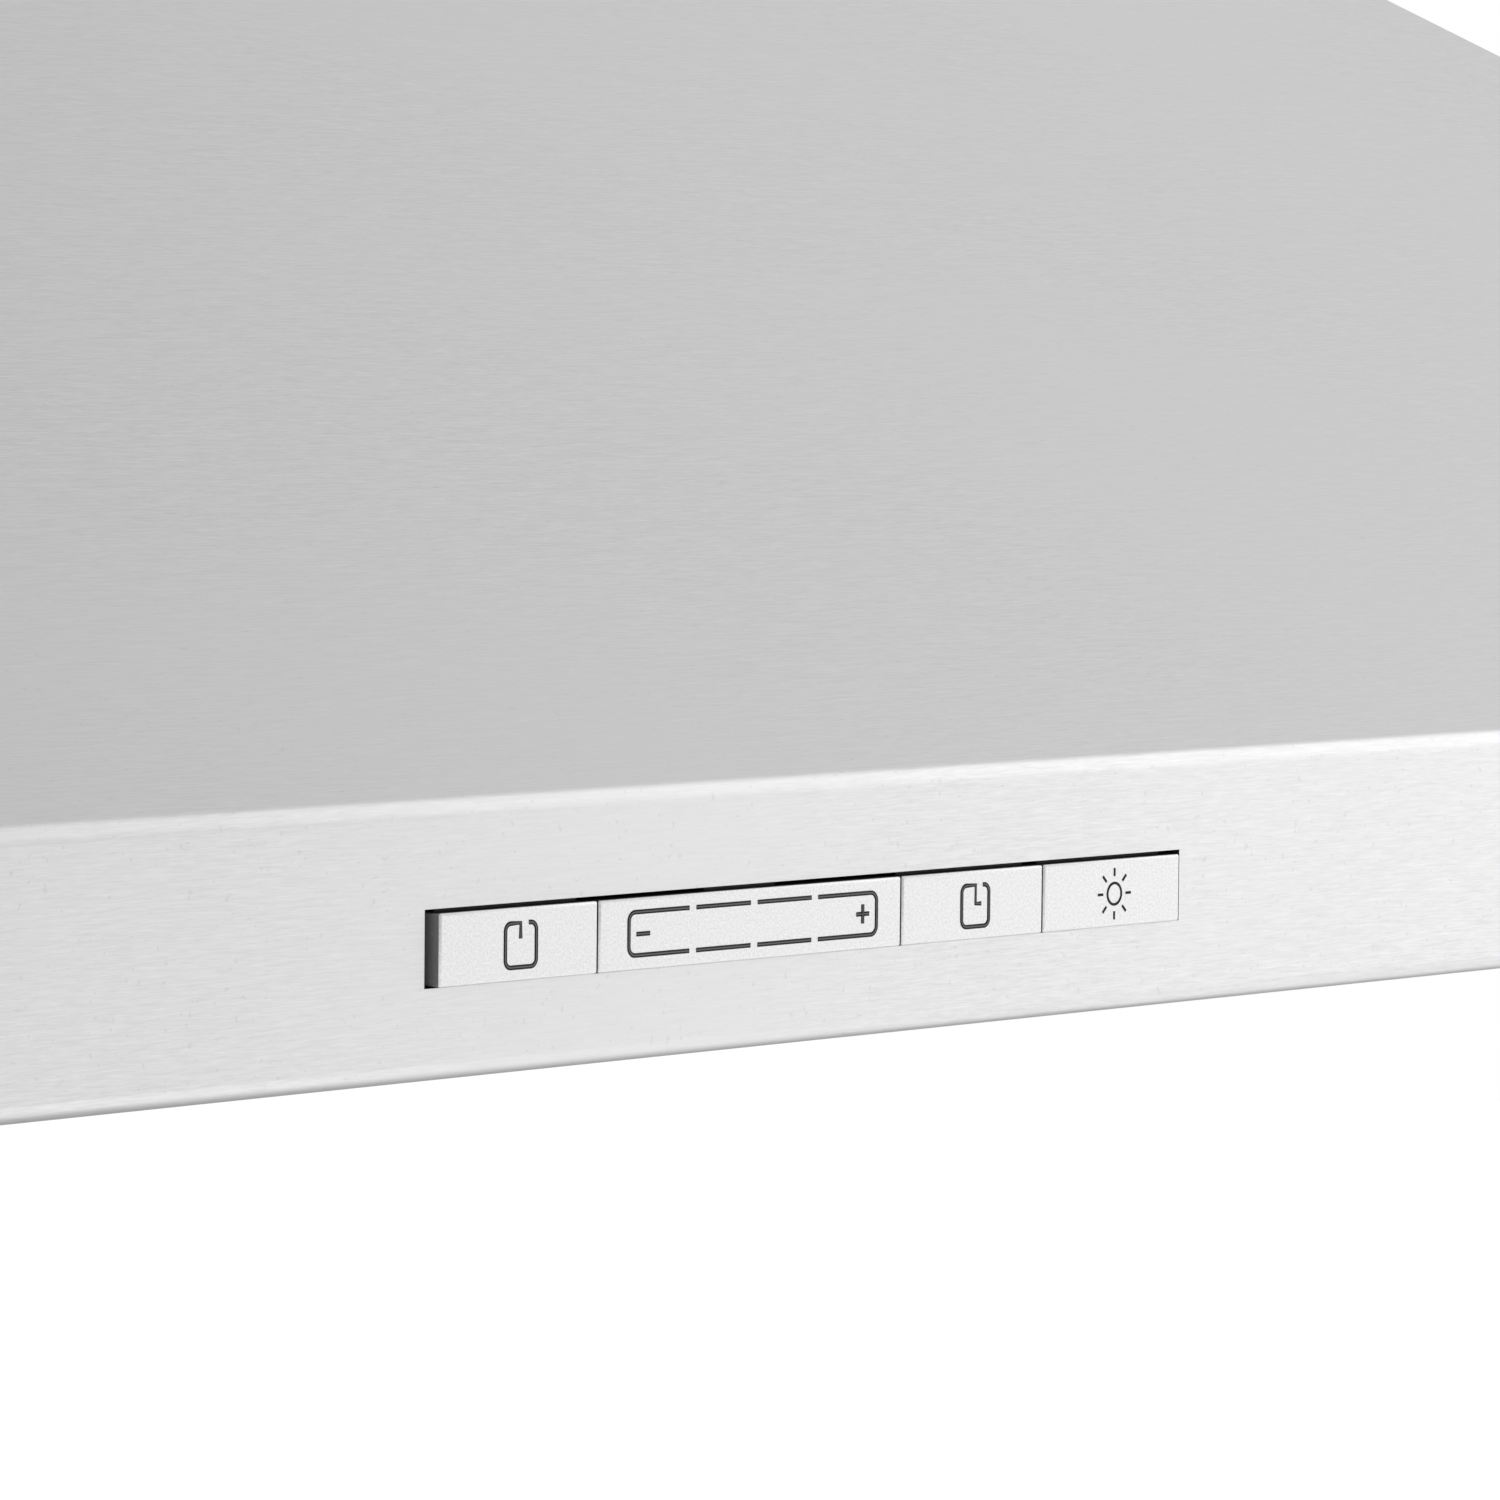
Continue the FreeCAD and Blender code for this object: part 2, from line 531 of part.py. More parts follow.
def make_lamps():
    """Both lamps, with the same pieces of each in one group."""
    bezels, lenses, sinks = zip(*[make_lamp(side) for side in (-1, 1)])
    add("lamp_bezels", *bezels)
    add("lamp_lenses", *lenses)
    add("lamp_heat_sinks", *sinks)


def baffle(x, low, rise, length, y0, opens_up):
    """Channel-shaped baffle along Y."""
    half = BAFFLE_WIDTH / 2
    outer = box(x - half, x + half, y0, y0 + length, low, low + rise)
    if opens_up:
        inner = box(x - half + FILTER_SHEET, x + half - FILTER_SHEET, y0 - 1, y0 + length + 1,
                    low + FILTER_SHEET, low + rise + 1)
    else:
        inner = box(x - half + FILTER_SHEET, x + half - FILTER_SHEET, y0 - 1, y0 + length + 1,
                    low - 1, low + rise - FILTER_SHEET)
    return outer.cut(inner)


def filter_hooks(side, y1):
    """Rear tabs of one filter, hollowed to sit on their hinge wires."""
    tabs = []
    for x in hinge_places():
        if x * side > 0:
            tab = box(x - TAB_HALF, x + TAB_HALF, y1 - FILTER_SHEET, OPENING_Y[1] + TAB_REACH,
                      PAN_Z + 0.1, PAN_Z + 0.1 + TAB_THICK)
            tabs.append(tab.cut(hinge_wire(x, HINGE_WIRE_R + SHAFT_SLACK, HINGE_HALF)))
    return tabs


def filter_clip(x, y0, z0):
    """Spring clip on a filter's front edge, with its raised bead."""
    low, high = z0 + CLIP_Z[0], z0 + CLIP_Z[1]
    middle = (low + high) / 2
    plate = box(x - CLIP_HALF, x + CLIP_HALF, y0 - 0.5, y0, low, high)
    bead = rod(0.6, V(x - CLIP_HALF, y0 - 0.3, middle), V(x + CLIP_HALF, y0 - 0.3, middle))
    behind = box(x - CLIP_HALF - 1, x + CLIP_HALF + 1, y0, y0 + 3, low, high)
    return plate.fuse(bead).cut(behind).removeSplitter()


def make_baffles(name, x0, x1, y0, y1, z0, z1):
    """Lower channels that open upwards and upper ones that open downwards between them."""
    length, start = y1 - y0 - 2 * FILTER_SHEET - 0.4, y0 + FILTER_SHEET + 0.2
    first = x0 + FILTER_RIM + BAFFLE_WIDTH / 2
    pitch = (x1 - x0 - 2 * FILTER_RIM - BAFFLE_WIDTH) / (BAFFLES - 1)
    low_z, top_z = z0 + FILTER_SHEET, z1 - FILTER_SHEET - BAFFLE_RISE
    lower = [baffle(first + i * pitch, low_z, BAFFLE_RISE, length, start, True) for i in range(BAFFLES)]
    upper = [baffle(first + (i + 0.5) * pitch, top_z, BAFFLE_RISE, length, start, False)
             for i in range(BAFFLES - 1)]
    add(name + "_filter_baffles", *lower, *upper)


def make_filter(side, name):
    """Baffle filter with a rim frame, two rows of baffles, rear tabs, clips and a pull ring."""
    x0, x1 = sorted(side * x for x in OPENING_X)
    x0, x1 = x0 + FILTER_GAP, x1 - FILTER_GAP
    y0, y1 = OPENING_Y[0] + FILTER_GAP, OPENING_Y[1] - FILTER_GAP
    z0, t, rim = PAN_Z - SHEET, FILTER_SHEET, FILTER_RIM
    z1 = z0 + FILTER_THICK
    frame = box(x0, x1, y0, y1, z0, z1)
    frame = frame.cut(box(x0 + t, x1 - t, y0 + t, y1 - t, z0 + t, z1 - t))
    frame = frame.cut(box(x0 + rim, x1 - rim, y0 + rim, y1 - rim, z0 - 1, z1 + 1))
    middle = (x0 + x1) / 2
    clips = [filter_clip(middle + dx, y0, z0) for dx in (-HINGE_OFFSET, HINGE_OFFSET)]
    make_baffles(name, x0, x1, y0, y1, z0, z1)
    add(name + "_filter_frame", fuse([frame] + filter_hooks(side, y1)), *clips)
    make_pull_ring(name, middle, z0)


def ring_axis_z(z0):
    """Height of the pull ring's hinge line under a filter."""
    return z0 - 3.8


def make_pull_ring(name, middle, z0):
    """Spot-welded plate with two lugs, and the wire ring that hangs in them."""
    axis_z = ring_axis_z(z0)
    plate = box(middle - HANDLE_HALF_X, middle + HANDLE_HALF_X, RING_AXIS_Y - HANDLE_HALF_Y,
                RING_AXIS_Y + HANDLE_HALF_Y, z0 - SHEET, z0)
    half = RING_WIDTH / 2
    lugs, bores = [], []
    for dx in (-half + LUG_INSET, half - LUG_INSET):
        a = V(middle + dx - LUG_HALF, RING_AXIS_Y, axis_z)
        b = V(middle + dx + LUG_HALF, RING_AXIS_Y, axis_z)
        neck = box(a.x, b.x, RING_AXIS_Y - LUG_R, RING_AXIS_Y + LUG_R, axis_z, z0 - SHEET)
        lugs += [rod(LUG_R, a, b), neck]
        bores.append(rod(RING_WIRE_R + SHAFT_SLACK, a - X_AXIS, b + X_AXIS))
    add(name + "_handle_plate", fuse([plate] + lugs).cut(bores))
    bottom = axis_z - RING_DROP
    left, right = V(middle - half, RING_AXIS_Y, axis_z), V(middle + half, RING_AXIS_Y, axis_z)
    low_left, low_right = V(left.x, left.y, bottom), V(right.x, right.y, bottom)
    points = [left + X_AXIS * half, left, low_left, low_right, right, right - X_AXIS * half]
    radii = [RING_EYE_BEND_R, RING_CORNER_R, RING_CORNER_R, RING_EYE_BEND_R]
    add(name + "_pull_ring", bent_rod(points, radii, RING_WIRE_R))


def bent_path(points, radii):
    """Wire of straight runs joined by tangent arcs."""
    edges, last = [], points[0]
    for before, corner, after, radius in zip(points, points[1:], points[2:], radii):
        a, b = (corner - before).normalize(), (after - corner).normalize()
        turn = a.getAngle(b)
        cut = radius * math.tan(turn / 2)
        start, end = corner - a * cut, corner + b * cut
        inward = (b - a).normalize()
        middle = corner + inward * (radius / math.cos(turn / 2) - radius)
        edges += [Part.LineSegment(last, start).toShape(), Part.Arc(start, middle, end).toShape()]
        last = end
    if (points[-1] - last).Length > 0.01:
        edges.append(Part.LineSegment(last, points[-1]).toShape())
    return Part.Wire(edges)


def bent_rod(points, radii, radius):
    """Round wire bent along a path."""
    path = bent_path(points, radii)
    start = points[0]
    circle = Part.Wire([Part.Circle(start, points[1] - start, radius).toShape()])
    return path.makePipeShell([circle], True, False)


# Blower

def scroll_radius(angle_deg):
    """Inside radius of the scroll wall, growing evenly from the tongue to the outlet."""
    share = (TONGUE_DEG - angle_deg) / (TONGUE_DEG - SCROLL_END_DEG)
    return SCROLL_MIN + (SCROLL_MAX - SCROLL_MIN) * share


def scroll_curve(extra, z):
    """Spiral edge round the wheel, with its radius increased by extra."""
    points = []
    steps = 20
    for i in range(steps + 1):
        angle = TONGUE_DEG + (SCROLL_END_DEG - TONGUE_DEG) * i / steps
        reach = scroll_radius(angle) + extra
        turn = math.radians(angle)
        points.append(V(WHEEL_X + reach * math.cos(turn), WHEEL_Y + reach * math.sin(turn), z))
    curve = Part.BSplineCurve()
    curve.interpolate(points)
    return curve.toShape(), points[0], points[-1]


def closed_prism(edges, height):
    """Solid of a flat closed outline pushed along +Z."""
    return Part.Face(Part.Wire(Part.__sortEdges__(edges))).extrude(Z_AXIS * height)


TONGUE_Y = WHEEL_Y + SCROLL_MIN * math.sin(math.radians(TONGUE_DEG))
TONGUE_X = WHEEL_X + SCROLL_MIN * math.cos(math.radians(TONGUE_DEG))
SCROLL_TOP_Y = WHEEL_Y + SCROLL_MAX


def make_scroll():
    """Scroll wall, with its straight outlet and rounded tongue."""
    low, high = BLOWER_BASE_Z + PLATE, BLOWER_TOP_Z - PLATE
    inner, a, b = scroll_curve(0, low)
    outer, c, d = scroll_curve(SCROLL_WALL, low)
    ends = [Part.LineSegment(a, c).toShape(), Part.LineSegment(b, d).toShape()]
    wall = closed_prism([inner, outer] + ends, high - low)
    roof = box(WHEEL_X, -BOX_HALF_X, SCROLL_TOP_Y, SCROLL_TOP_Y + SCROLL_WALL, low, high)
    floor = box(TONGUE_X, -BOX_HALF_X, TONGUE_Y - SCROLL_WALL, TONGUE_Y, low, high)
    tongue = rod(2.0, V(TONGUE_X + 1.2, TONGUE_Y - 1.2, low), V(TONGUE_X + 1.2, TONGUE_Y - 1.2, high))
    add("blower_scroll", fuse([wall, roof, floor, tongue]))


def blower_plate(z):
    """Flat plate with the scroll's outline."""
    spiral, start, end = scroll_curve(SCROLL_WALL, z)
    body = closed_prism([spiral, Part.LineSegment(end, start).toShape()], PLATE)
    outlet = box(WHEEL_X, -BOX_HALF_X, TONGUE_Y - SCROLL_WALL, end.y, z, z + PLATE)
    return fuse([body, outlet])


def ring_points(radius, count, z, start_deg=0.0):
    """Evenly spaced points on a circle about the wheel's axis."""
    turns = [math.radians(start_deg + 360 * i / count) for i in range(count)]
    return [V(WHEEL_X + radius * math.cos(t), WHEEL_Y + radius * math.sin(t), z) for t in turns]


def motor_screw_points(z):
    """Screws that hang the motor from the blower's top plate."""
    return ring_points(MOTOR_SCREW_R, 3, z, 90)


ISOLATOR_R = 100.0
GUARD_HOOPS = (18, 36, 54, 72)
GUARD_WIRE_R, GUARD_SPOKE_R, GUARD_GAP = 1.0, 1.1, 2.2


def make_blower_plates():
    """Top plate that carries the motor, base plate with its inlet ring and wire guard."""
    centre = V(WHEEL_X, WHEEL_Y, 0)
    top = blower_plate(BLOWER_TOP_Z - PLATE)
    add("blower_top_plate", drill(top, 2.1, motor_screw_points(BLOWER_TOP_Z), Z_AXIS, 10))
    base = blower_plate(BLOWER_BASE_Z)
    add("blower_base_plate", drill(base, INLET_R + 2, [centre + Z_AXIS * BLOWER_BASE_Z], Z_AXIS, 10))
    low = centre + Z_AXIS * BLOWER_BASE_Z
    lip = tube(INLET_R + 1.2, INLET_R, low, low + Z_AXIS * 8)
    flange = tube(INLET_R + 14, INLET_R, low - Z_AXIS, low)
    add("inlet_ring", lip.fuse(flange).removeSplitter())
    guard_z = BLOWER_BASE_Z - GUARD_GAP
    hoops = [Part.makeTorus(r, GUARD_WIRE_R, V(WHEEL_X, WHEEL_Y, guard_z)) for r in GUARD_HOOPS]
    spoke_z = guard_z - 1.2
    ends = ring_points(GUARD_HOOPS[-1] + 1, 4, spoke_z, 45)
    spokes = [rod(GUARD_SPOKE_R, V(WHEEL_X, WHEEL_Y, spoke_z), end) for end in ends]
    add("inlet_guard", fuse(hoops + spokes))
    feet = ring_points(ISOLATOR_R, 4, BLOWER_TOP_Z, 45)[1:] + [V(WHEEL_X + 90, WHEEL_Y + 110, BLOWER_TOP_Z)]
    add("blower_isolators", *[rod(8, p, V(p.x, p.y, -SHEET)) for p in feet])


def make_motor():
    """Motor can with bearings and stator, and the rotor and shaft that turn in it."""
    def at(z):
        return V(WHEEL_X, WHEEL_Y, z)
    can = rod(MOTOR_R, at(MOTOR_BASE_Z), at(MOTOR_TOP_Z))
    can = can.cut(rod(MOTOR_R - CAN_WALL, at(MOTOR_BASE_Z + CAN_END), at(MOTOR_TOP_Z - CAN_END)))
    can = can.cut(rod(BEARING_R, at(MOTOR_BASE_Z - 1), at(MOTOR_TOP_Z - 2)))
    add("motor_housing", drill(can, 1.9, motor_screw_points(MOTOR_TOP_Z), Z_AXIS, 12))
    add("motor_bearings", *[tube(BEARING_R, SHAFT_R + SHAFT_SLACK, at(z), at(z + 6))
                            for z in (MOTOR_BASE_Z, MOTOR_TOP_Z - 8)])
    base, top = MOTOR_BASE_Z + CORE_INSET, MOTOR_TOP_Z - CORE_INSET
    add("motor_stator", tube(MOTOR_R - CAN_WALL, STATOR_BORE_R, at(base), at(top)))
    add("motor_rotor", tube(ROTOR_R, SHAFT_R, at(base + 0.5), at(top - 0.5)))
    add("motor_shaft", rod(SHAFT_R, at(BLOWER_BASE_Z + 10), at(MOTOR_TOP_Z - 2.5)))


def blade(angle_deg):
    """One forward-curved blade of the wheel."""
    z0, z1 = BLOWER_BASE_Z + WHEEL_GAP_BASE + 1, BLOWER_TOP_Z - WHEEL_GAP_TOP
    inner, outer = WHEEL_EYE_R + 0.6, WHEEL_R - 0.6
    lead = list(zip(BLADE_LEAD, (inner, (inner + outer) / 2, outer)))

    def point(shift_deg, reach):
        turn = math.radians(angle_deg - shift_deg)
        return V(WHEEL_X + reach * math.cos(turn), WHEEL_Y + reach * math.sin(turn), z0)
    front = [point(shift, reach) for shift, reach in lead]
    back = [point(shift + BLADE_THICK_DEG, reach) for shift, reach in lead]
    edges = [Part.Arc(*front).toShape(), Part.Arc(*back).toShape(),
             Part.LineSegment(front[0], back[0]).toShape(), Part.LineSegment(front[2], back[2]).toShape()]
    return closed_prism(edges, z1 - z0)


def make_impeller():
    """Squirrel-cage wheel: rims, blades, back disc and the cup that clears the motor."""
    def at(z):
        return V(WHEEL_X, WHEEL_Y, z)
    top, bottom = BLOWER_TOP_Z - WHEEL_GAP_TOP, BLOWER_BASE_Z + WHEEL_GAP_BASE
    cup_z = MOTOR_BASE_Z - 8
    boss_z = cup_z - BOSS_LENGTH
    disc = tube(WHEEL_R, CUP_R - CUP_WALL, at(top - CUP_WALL), at(top))
    rim = tube(WHEEL_R, WHEEL_EYE_R, at(bottom), at(bottom + 2))
    cup = tube(CUP_R, CUP_R - CUP_WALL, at(cup_z), at(top))
    floor = rod(CUP_R, at(cup_z), at(cup_z + 2))
    boss = rod(BOSS_R, at(boss_z), at(cup_z + 1))
    blades = [blade(360.0 * i / BLADES) for i in range(BLADES)]
    wheel = fuse([disc, rim, cup, floor, boss] + blades)
    add("impeller", wheel.cut(rod(SHAFT_R, at(BLOWER_BASE_Z), at(BLOWER_TOP_Z))))
    corners = ring_points(NUT_R, 6, boss_z - NUT_HEIGHT)
    hexagon = Part.Face(Part.makePolygon(corners + corners[:1])).extrude(Z_AXIS * NUT_HEIGHT)
    add("impeller_nut", hexagon.cut(rod(SHAFT_R, at(boss_z - NUT_HEIGHT - 1), at(boss_z + 1))))


# Air outlet

def make_discharge_box():
    """Box under the collar, open to the scroll, the collar and the rear outlet."""
    low = BLOWER_BASE_Z
    outer = box(-BOX_HALF_X, BOX_HALF_X, BOX_FRONT_Y, BACK_Y - 2 * SHEET, low, -SHEET)
    inner = box(-BOX_HALF_X + SHEET, BOX_HALF_X - SHEET, BOX_FRONT_Y + SHEET, BACK_Y, low + SHEET, 5)
    port = box(-BOX_HALF_X - 1, -BOX_HALF_X + 2, TONGUE_Y, SCROLL_TOP_Y, low + PLATE, BLOWER_TOP_Z - PLATE)
    add("discharge_box", outer.cut([inner, port]))


def make_collar():
    """Round collar with a screw flange, damper pin and soft seal ring."""
    base, top = V(0, DUCT_Y, 0), V(0, DUCT_Y, COLLAR_HEIGHT)
    wall = tube(COLLAR_R, COLLAR_R - COLLAR_WALL, base, top)
    flange = tube(COLLAR_FLANGE_R, COLLAR_R - COLLAR_WALL, base, base + Z_AXIS * COLLAR_FLANGE)
    collar = drill(fuse([wall, flange]), RIVET_R, collar_screw_points(), Z_AXIS, 10)
    a, b = V(-COLLAR_R + 0.4, DUCT_Y, DAMPER_Z), V(COLLAR_R - 0.4, DUCT_Y, DAMPER_Z)
    add("duct_collar", collar.cut(rod(DAMPER_PIN_R, a, b)))
    add("damper_pin", rod(DAMPER_PIN_R, a, b))
    seal_top, bore = DAMPER_Z - FLAP_DROP - 0.4, COLLAR_R - COLLAR_WALL
    add("damper_seal", tube(bore, bore - SEAL_WIDTH, V(0, DUCT_Y, seal_top - SEAL_HEIGHT),
                            V(0, DUCT_Y, seal_top)))


def make_damper_flap(side, name, knuckles):
    """Half-round flap that rests on the seal and lifts about the pin."""
    z0 = DAMPER_Z - FLAP_DROP
    disc = rod(FLAP_R, V(0, DUCT_Y, z0), V(0, DUCT_Y, z0 + FLAP_SHEET))
    y0, y1 = sorted((DUCT_Y + side * 2.6, DUCT_Y + side * FLAP_R))
    shapes = [disc.common(box(-FLAP_R, FLAP_R, y0, y1, z0 - 1, z0 + 2))]
    for x0, x1 in knuckles:
        y0, y1 = sorted((DUCT_Y + side * 0.4, DUCT_Y + side * 3.0))
        shapes.append(box(x0, x1, y0, y1, z0, z0 + FLAP_SHEET))
        shapes.append(rod(KNUCKLE_R, V(x0, DUCT_Y, DAMPER_Z), V(x1, DUCT_Y, DAMPER_Z)))
    bore = rod(DAMPER_PIN_R + SHAFT_SLACK, V(-COLLAR_R, DUCT_Y, DAMPER_Z), V(COLLAR_R, DUCT_Y, DAMPER_Z))
    add(name, fuse(shapes).cut(bore))


# Electrics

CABLE_R = 2.0
BOX_X = (270.0, 400.0)
BOX_FRONT, BOX_LOW = 60.0, -60.0
INLET_LEAD = V(BOX_X[0], 80.0, -30.0)
CASE_X = (105.0, 235.0)
CASE_Y = (-60.0, 40.0)
CASE_LOW = -36.0
CASE_WALL = 2.0
BOARD_Z = (-12.0, -10.4)
POST_R, POST_INSET = 3.0, 10.0
DRUM_R, DRUM_Y, DRUM_Z, DRUM_X = 16.0, -72.0, -20.0, (-66.0, -6.0)
CLIP_X = (-42.0, -30.0)


def make_wiring_box():
    """Sheet box over the wiring hole, with its cover and terminal block."""
    x0, x1 = BOX_X
    y0, y1 = BOX_FRONT, BACK_Y - SHEET
    shell = box(x0, x1, y0, y1, BOX_LOW, -SHEET)
    shell = shell.cut(box(x0 + SHEET, x1 - SHEET, y0 + SHEET, y1 + 1, BOX_LOW - 1, -2 * SHEET))
    lead = rod(CABLE_R + 0.1, INLET_LEAD - X_AXIS, INLET_LEAD + X_AXIS * 2)
    add("wiring_box", shell.cut(lead))
    add("wiring_box_cover", box(x0, x1, y0, y1 - 0.2, BOX_LOW - SHEET, BOX_LOW))
    add("terminal_block", box(x0 + 35, x0 + 95, y0 + 6, y0 + 24, -22, -2 * SHEET))


def make_power_board(x0, x1, y0, y1):
    """Board with its transformer, relay, filter block and round capacitor hanging below."""
    board = box(x0 + 4, x1 - 4, y0 + 4, y1 - 4, *BOARD_Z)
    under = BOARD_Z[0]
    transformer = box(x0 + 15, x0 + 45, -40, -15, under - 18, under)
    relay = box(x0 + 60, x0 + 80, -35, -20, under - 12, under)
    block = box(x0 + 95, x0 + 115, 0, 20, under - 14, under)
    can = rod(7, V(x0 + 70, 15, under - 18), V(x0 + 70, 15, under))
    add("power_board", fuse([board, transformer, relay, block, can]))


def make_power_case():
    """Plastic case with the motor's power board, and the lamp driver beside it."""
    (x0, x1), (y0, y1), wall = CASE_X, CASE_Y, CASE_WALL
    shell = box(x0, x1, y0, y1, CASE_LOW, -SHEET)
    shell = shell.cut(box(x0 + wall, x1 - wall, y0 + wall, y1 - wall, CASE_LOW - 1, -SHEET - wall))
    posts = [rod(POST_R, V(x, y, BOARD_Z[1]), V(x, y, -wall)) for x in (x0 + POST_INSET, x1 - POST_INSET)
             for y in (y0 + POST_INSET, y1 - POST_INSET)]
    add("power_board_case", fuse([shell] + posts))
    make_power_board(x0, x1, y0, y1)
    add("lamp_driver", box(270, 380, -70, -25, -27, -SHEET))


def make_capacitor():
    """Motor's run capacitor, and the sheet clip that straps it under the top."""
    def at(x):
        return V(x, DRUM_Y, DRUM_Z)
    drum = rod(DRUM_R, at(DRUM_X[0]), at(DRUM_X[1]))
    add("run_capacitor", drum)
    x0, x1 = CLIP_X
    reach = DRUM_R + SHEET
    strap = tube(reach, DRUM_R, at(x0), at(x1))
    strap = strap.cut(box(x0 - 1, x1 + 1, DRUM_Y - reach - 6, DRUM_Y + reach + 5, DRUM_Z, 0))
    foot = box(x0, x1, DRUM_Y - 22, DRUM_Y + 22, -2 * SHEET, -SHEET)
    webs = [box(x0, x1, y, y + 0.9, DRUM_Z, -1.5 * SHEET) for y in (DRUM_Y - reach + 0.1, DRUM_Y + reach - 1)]
    add("capacitor_clip", fuse([strap, foot] + webs).cut(drum))


CABLES = {
    "control_cable": [[V(40, CABLE_Y, STRIP_Z + 4.5), V(40, CABLE_Y, STRIP_Z + 15),
                       V(43, -370, STRIP_Z + 20), V(58, -325, -98), V(92, -262, -78), V(130, -188, -56),
                       V(150, -120, -34), V(150, -60, -22)]],
    "lamp_cables": [[V(LAMP_X - 29, LAMP_Y, PAN_Z + 5.5), V(LAMP_X - 52, LAMP_Y + 8, PAN_Z + 10),
                     V(LAMP_X - 60, LAMP_Y + 50, -86), V(LAMP_X - 36, LAMP_Y + 105, -62),
                     V(LAMP_X - 8, LAMP_Y + 165, -36), V(LAMP_X - 4, -90, -15), V(LAMP_X - 4, -70, -15)],
                    [V(29 - LAMP_X, LAMP_Y, PAN_Z + 5.5), V(60 - LAMP_X, LAMP_Y + 4, PAN_Z + 9),
                     V(100 - LAMP_X, LAMP_Y + 16, PAN_Z + 14), V(150 - LAMP_X, LAMP_Y + 22, PAN_Z + 15),
                     V(-95, LAMP_Y + 26, -112), V(-40, LAMP_Y + 22, -114), V(15, LAMP_Y + 24, -112),
                     V(70, LAMP_Y + 40, -104), V(120, LAMP_Y + 52, -98), V(170, LAMP_Y + 60, -92),
                     V(215, LAMP_Y + 90, -78), V(260, LAMP_Y + 125, -58), V(305, LAMP_Y + 165, -38),
                     V(340, -100, -17), V(342, -70, -15)]],
    "blower_cables": [[V(WHEEL_X + 92, -58, -10), V(-80, -92, -10), V(-38, -112, -12), V(18, -108, -15),
                       V(70, -76, -19), V(CASE_X[0], -50, -21)],
                      [V(-6, -72, -20), V(18, -70, -24), V(40, -54, -30), V(70, -38, -30),
                       V(CASE_X[0], -30, -28)]],
    "supply_cable": [[V(BOX_X[0] + 6, 80, -30), V(BOX_X[0] - 14, 78, -30), V(BOX_X[0] - 22, 56, -28),
                      V(BOX_X[0] - 18, 34, -26), V(CASE_X[1] + 10, 18, -24), V(CASE_X[1], 16, -24)]],
}
CABLE_ENDS = {"blower_cables": [box(WHEEL_X + 84, WHEEL_X + 100, -58, -44, BLOWER_TOP_Z, -4)]}
BEND_SHARE = 0.45


def bend_radii(points):
    """Largest bend at each inner point that its two runs allow."""
    radii = []
    for before, corner, after in zip(points, points[1:], points[2:]):
        a, b = corner - before, after - corner
        radii.append(BEND_SHARE * min(a.Length, b.Length) / math.tan(a.getAngle(b) / 2))
    return radii


def make_cables():
    """Leads inside the casing, and the plug on the motor's lead."""
    for name, routes in CABLES.items():
        leads = [bent_rod(points, bend_radii(points), CABLE_R) for points in routes]
        add(name, *leads, *CABLE_ENDS.get(name, []))


def build():
    """Make every node."""
    make_canopy()
    make_side_panels()
    make_back()
    make_fasteners()
    make_keys()
    make_control_module()
    make_pan()
    make_lamps()
    for side, name in ((-1, "left"), (1, "right")):
        make_filter(side, name)
    make_scroll()
    make_blower_plates()
    make_motor()
    make_impeller()
    make_discharge_box()
    make_collar()
    make_damper_flap(-1, "front_damper_flap", ((-62.0, -40.0), (-12.0, 12.0), (40.0, 62.0)))
    make_damper_flap(1, "rear_damper_flap", ((-38.0, -14.0), (14.0, 38.0)))
    make_wiring_box()
    make_power_case()
    make_capacitor()
    make_cables()


def export():
    """Write one STEP file per node."""
    os.makedirs("parts", exist_ok=True)
    for name, shape in PARTS.items():
        if not shape.isValid() or any(solid.Volume <= 0 for solid in shape.Solids):
            print("BAD SHAPE", name)
        shape.exportStep("parts/" + name + ".step")
    print(len(PARTS), "nodes")


build()
export()
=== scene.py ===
"""Visual model of an under cabinet range hood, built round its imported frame.

Lengths are metres in the frame's axes: +X right, +Y towards the wall, +Z up.
"""

from __future__ import annotations

import json
import logging
import math
from dataclasses import dataclass
from enum import Enum

import bmesh
import bpy
from bmesh.types import BMesh
from bpy.types import Material, Mesh, Node, NodeSocket, NodeTree, Object
from mathutils import Matrix, Vector

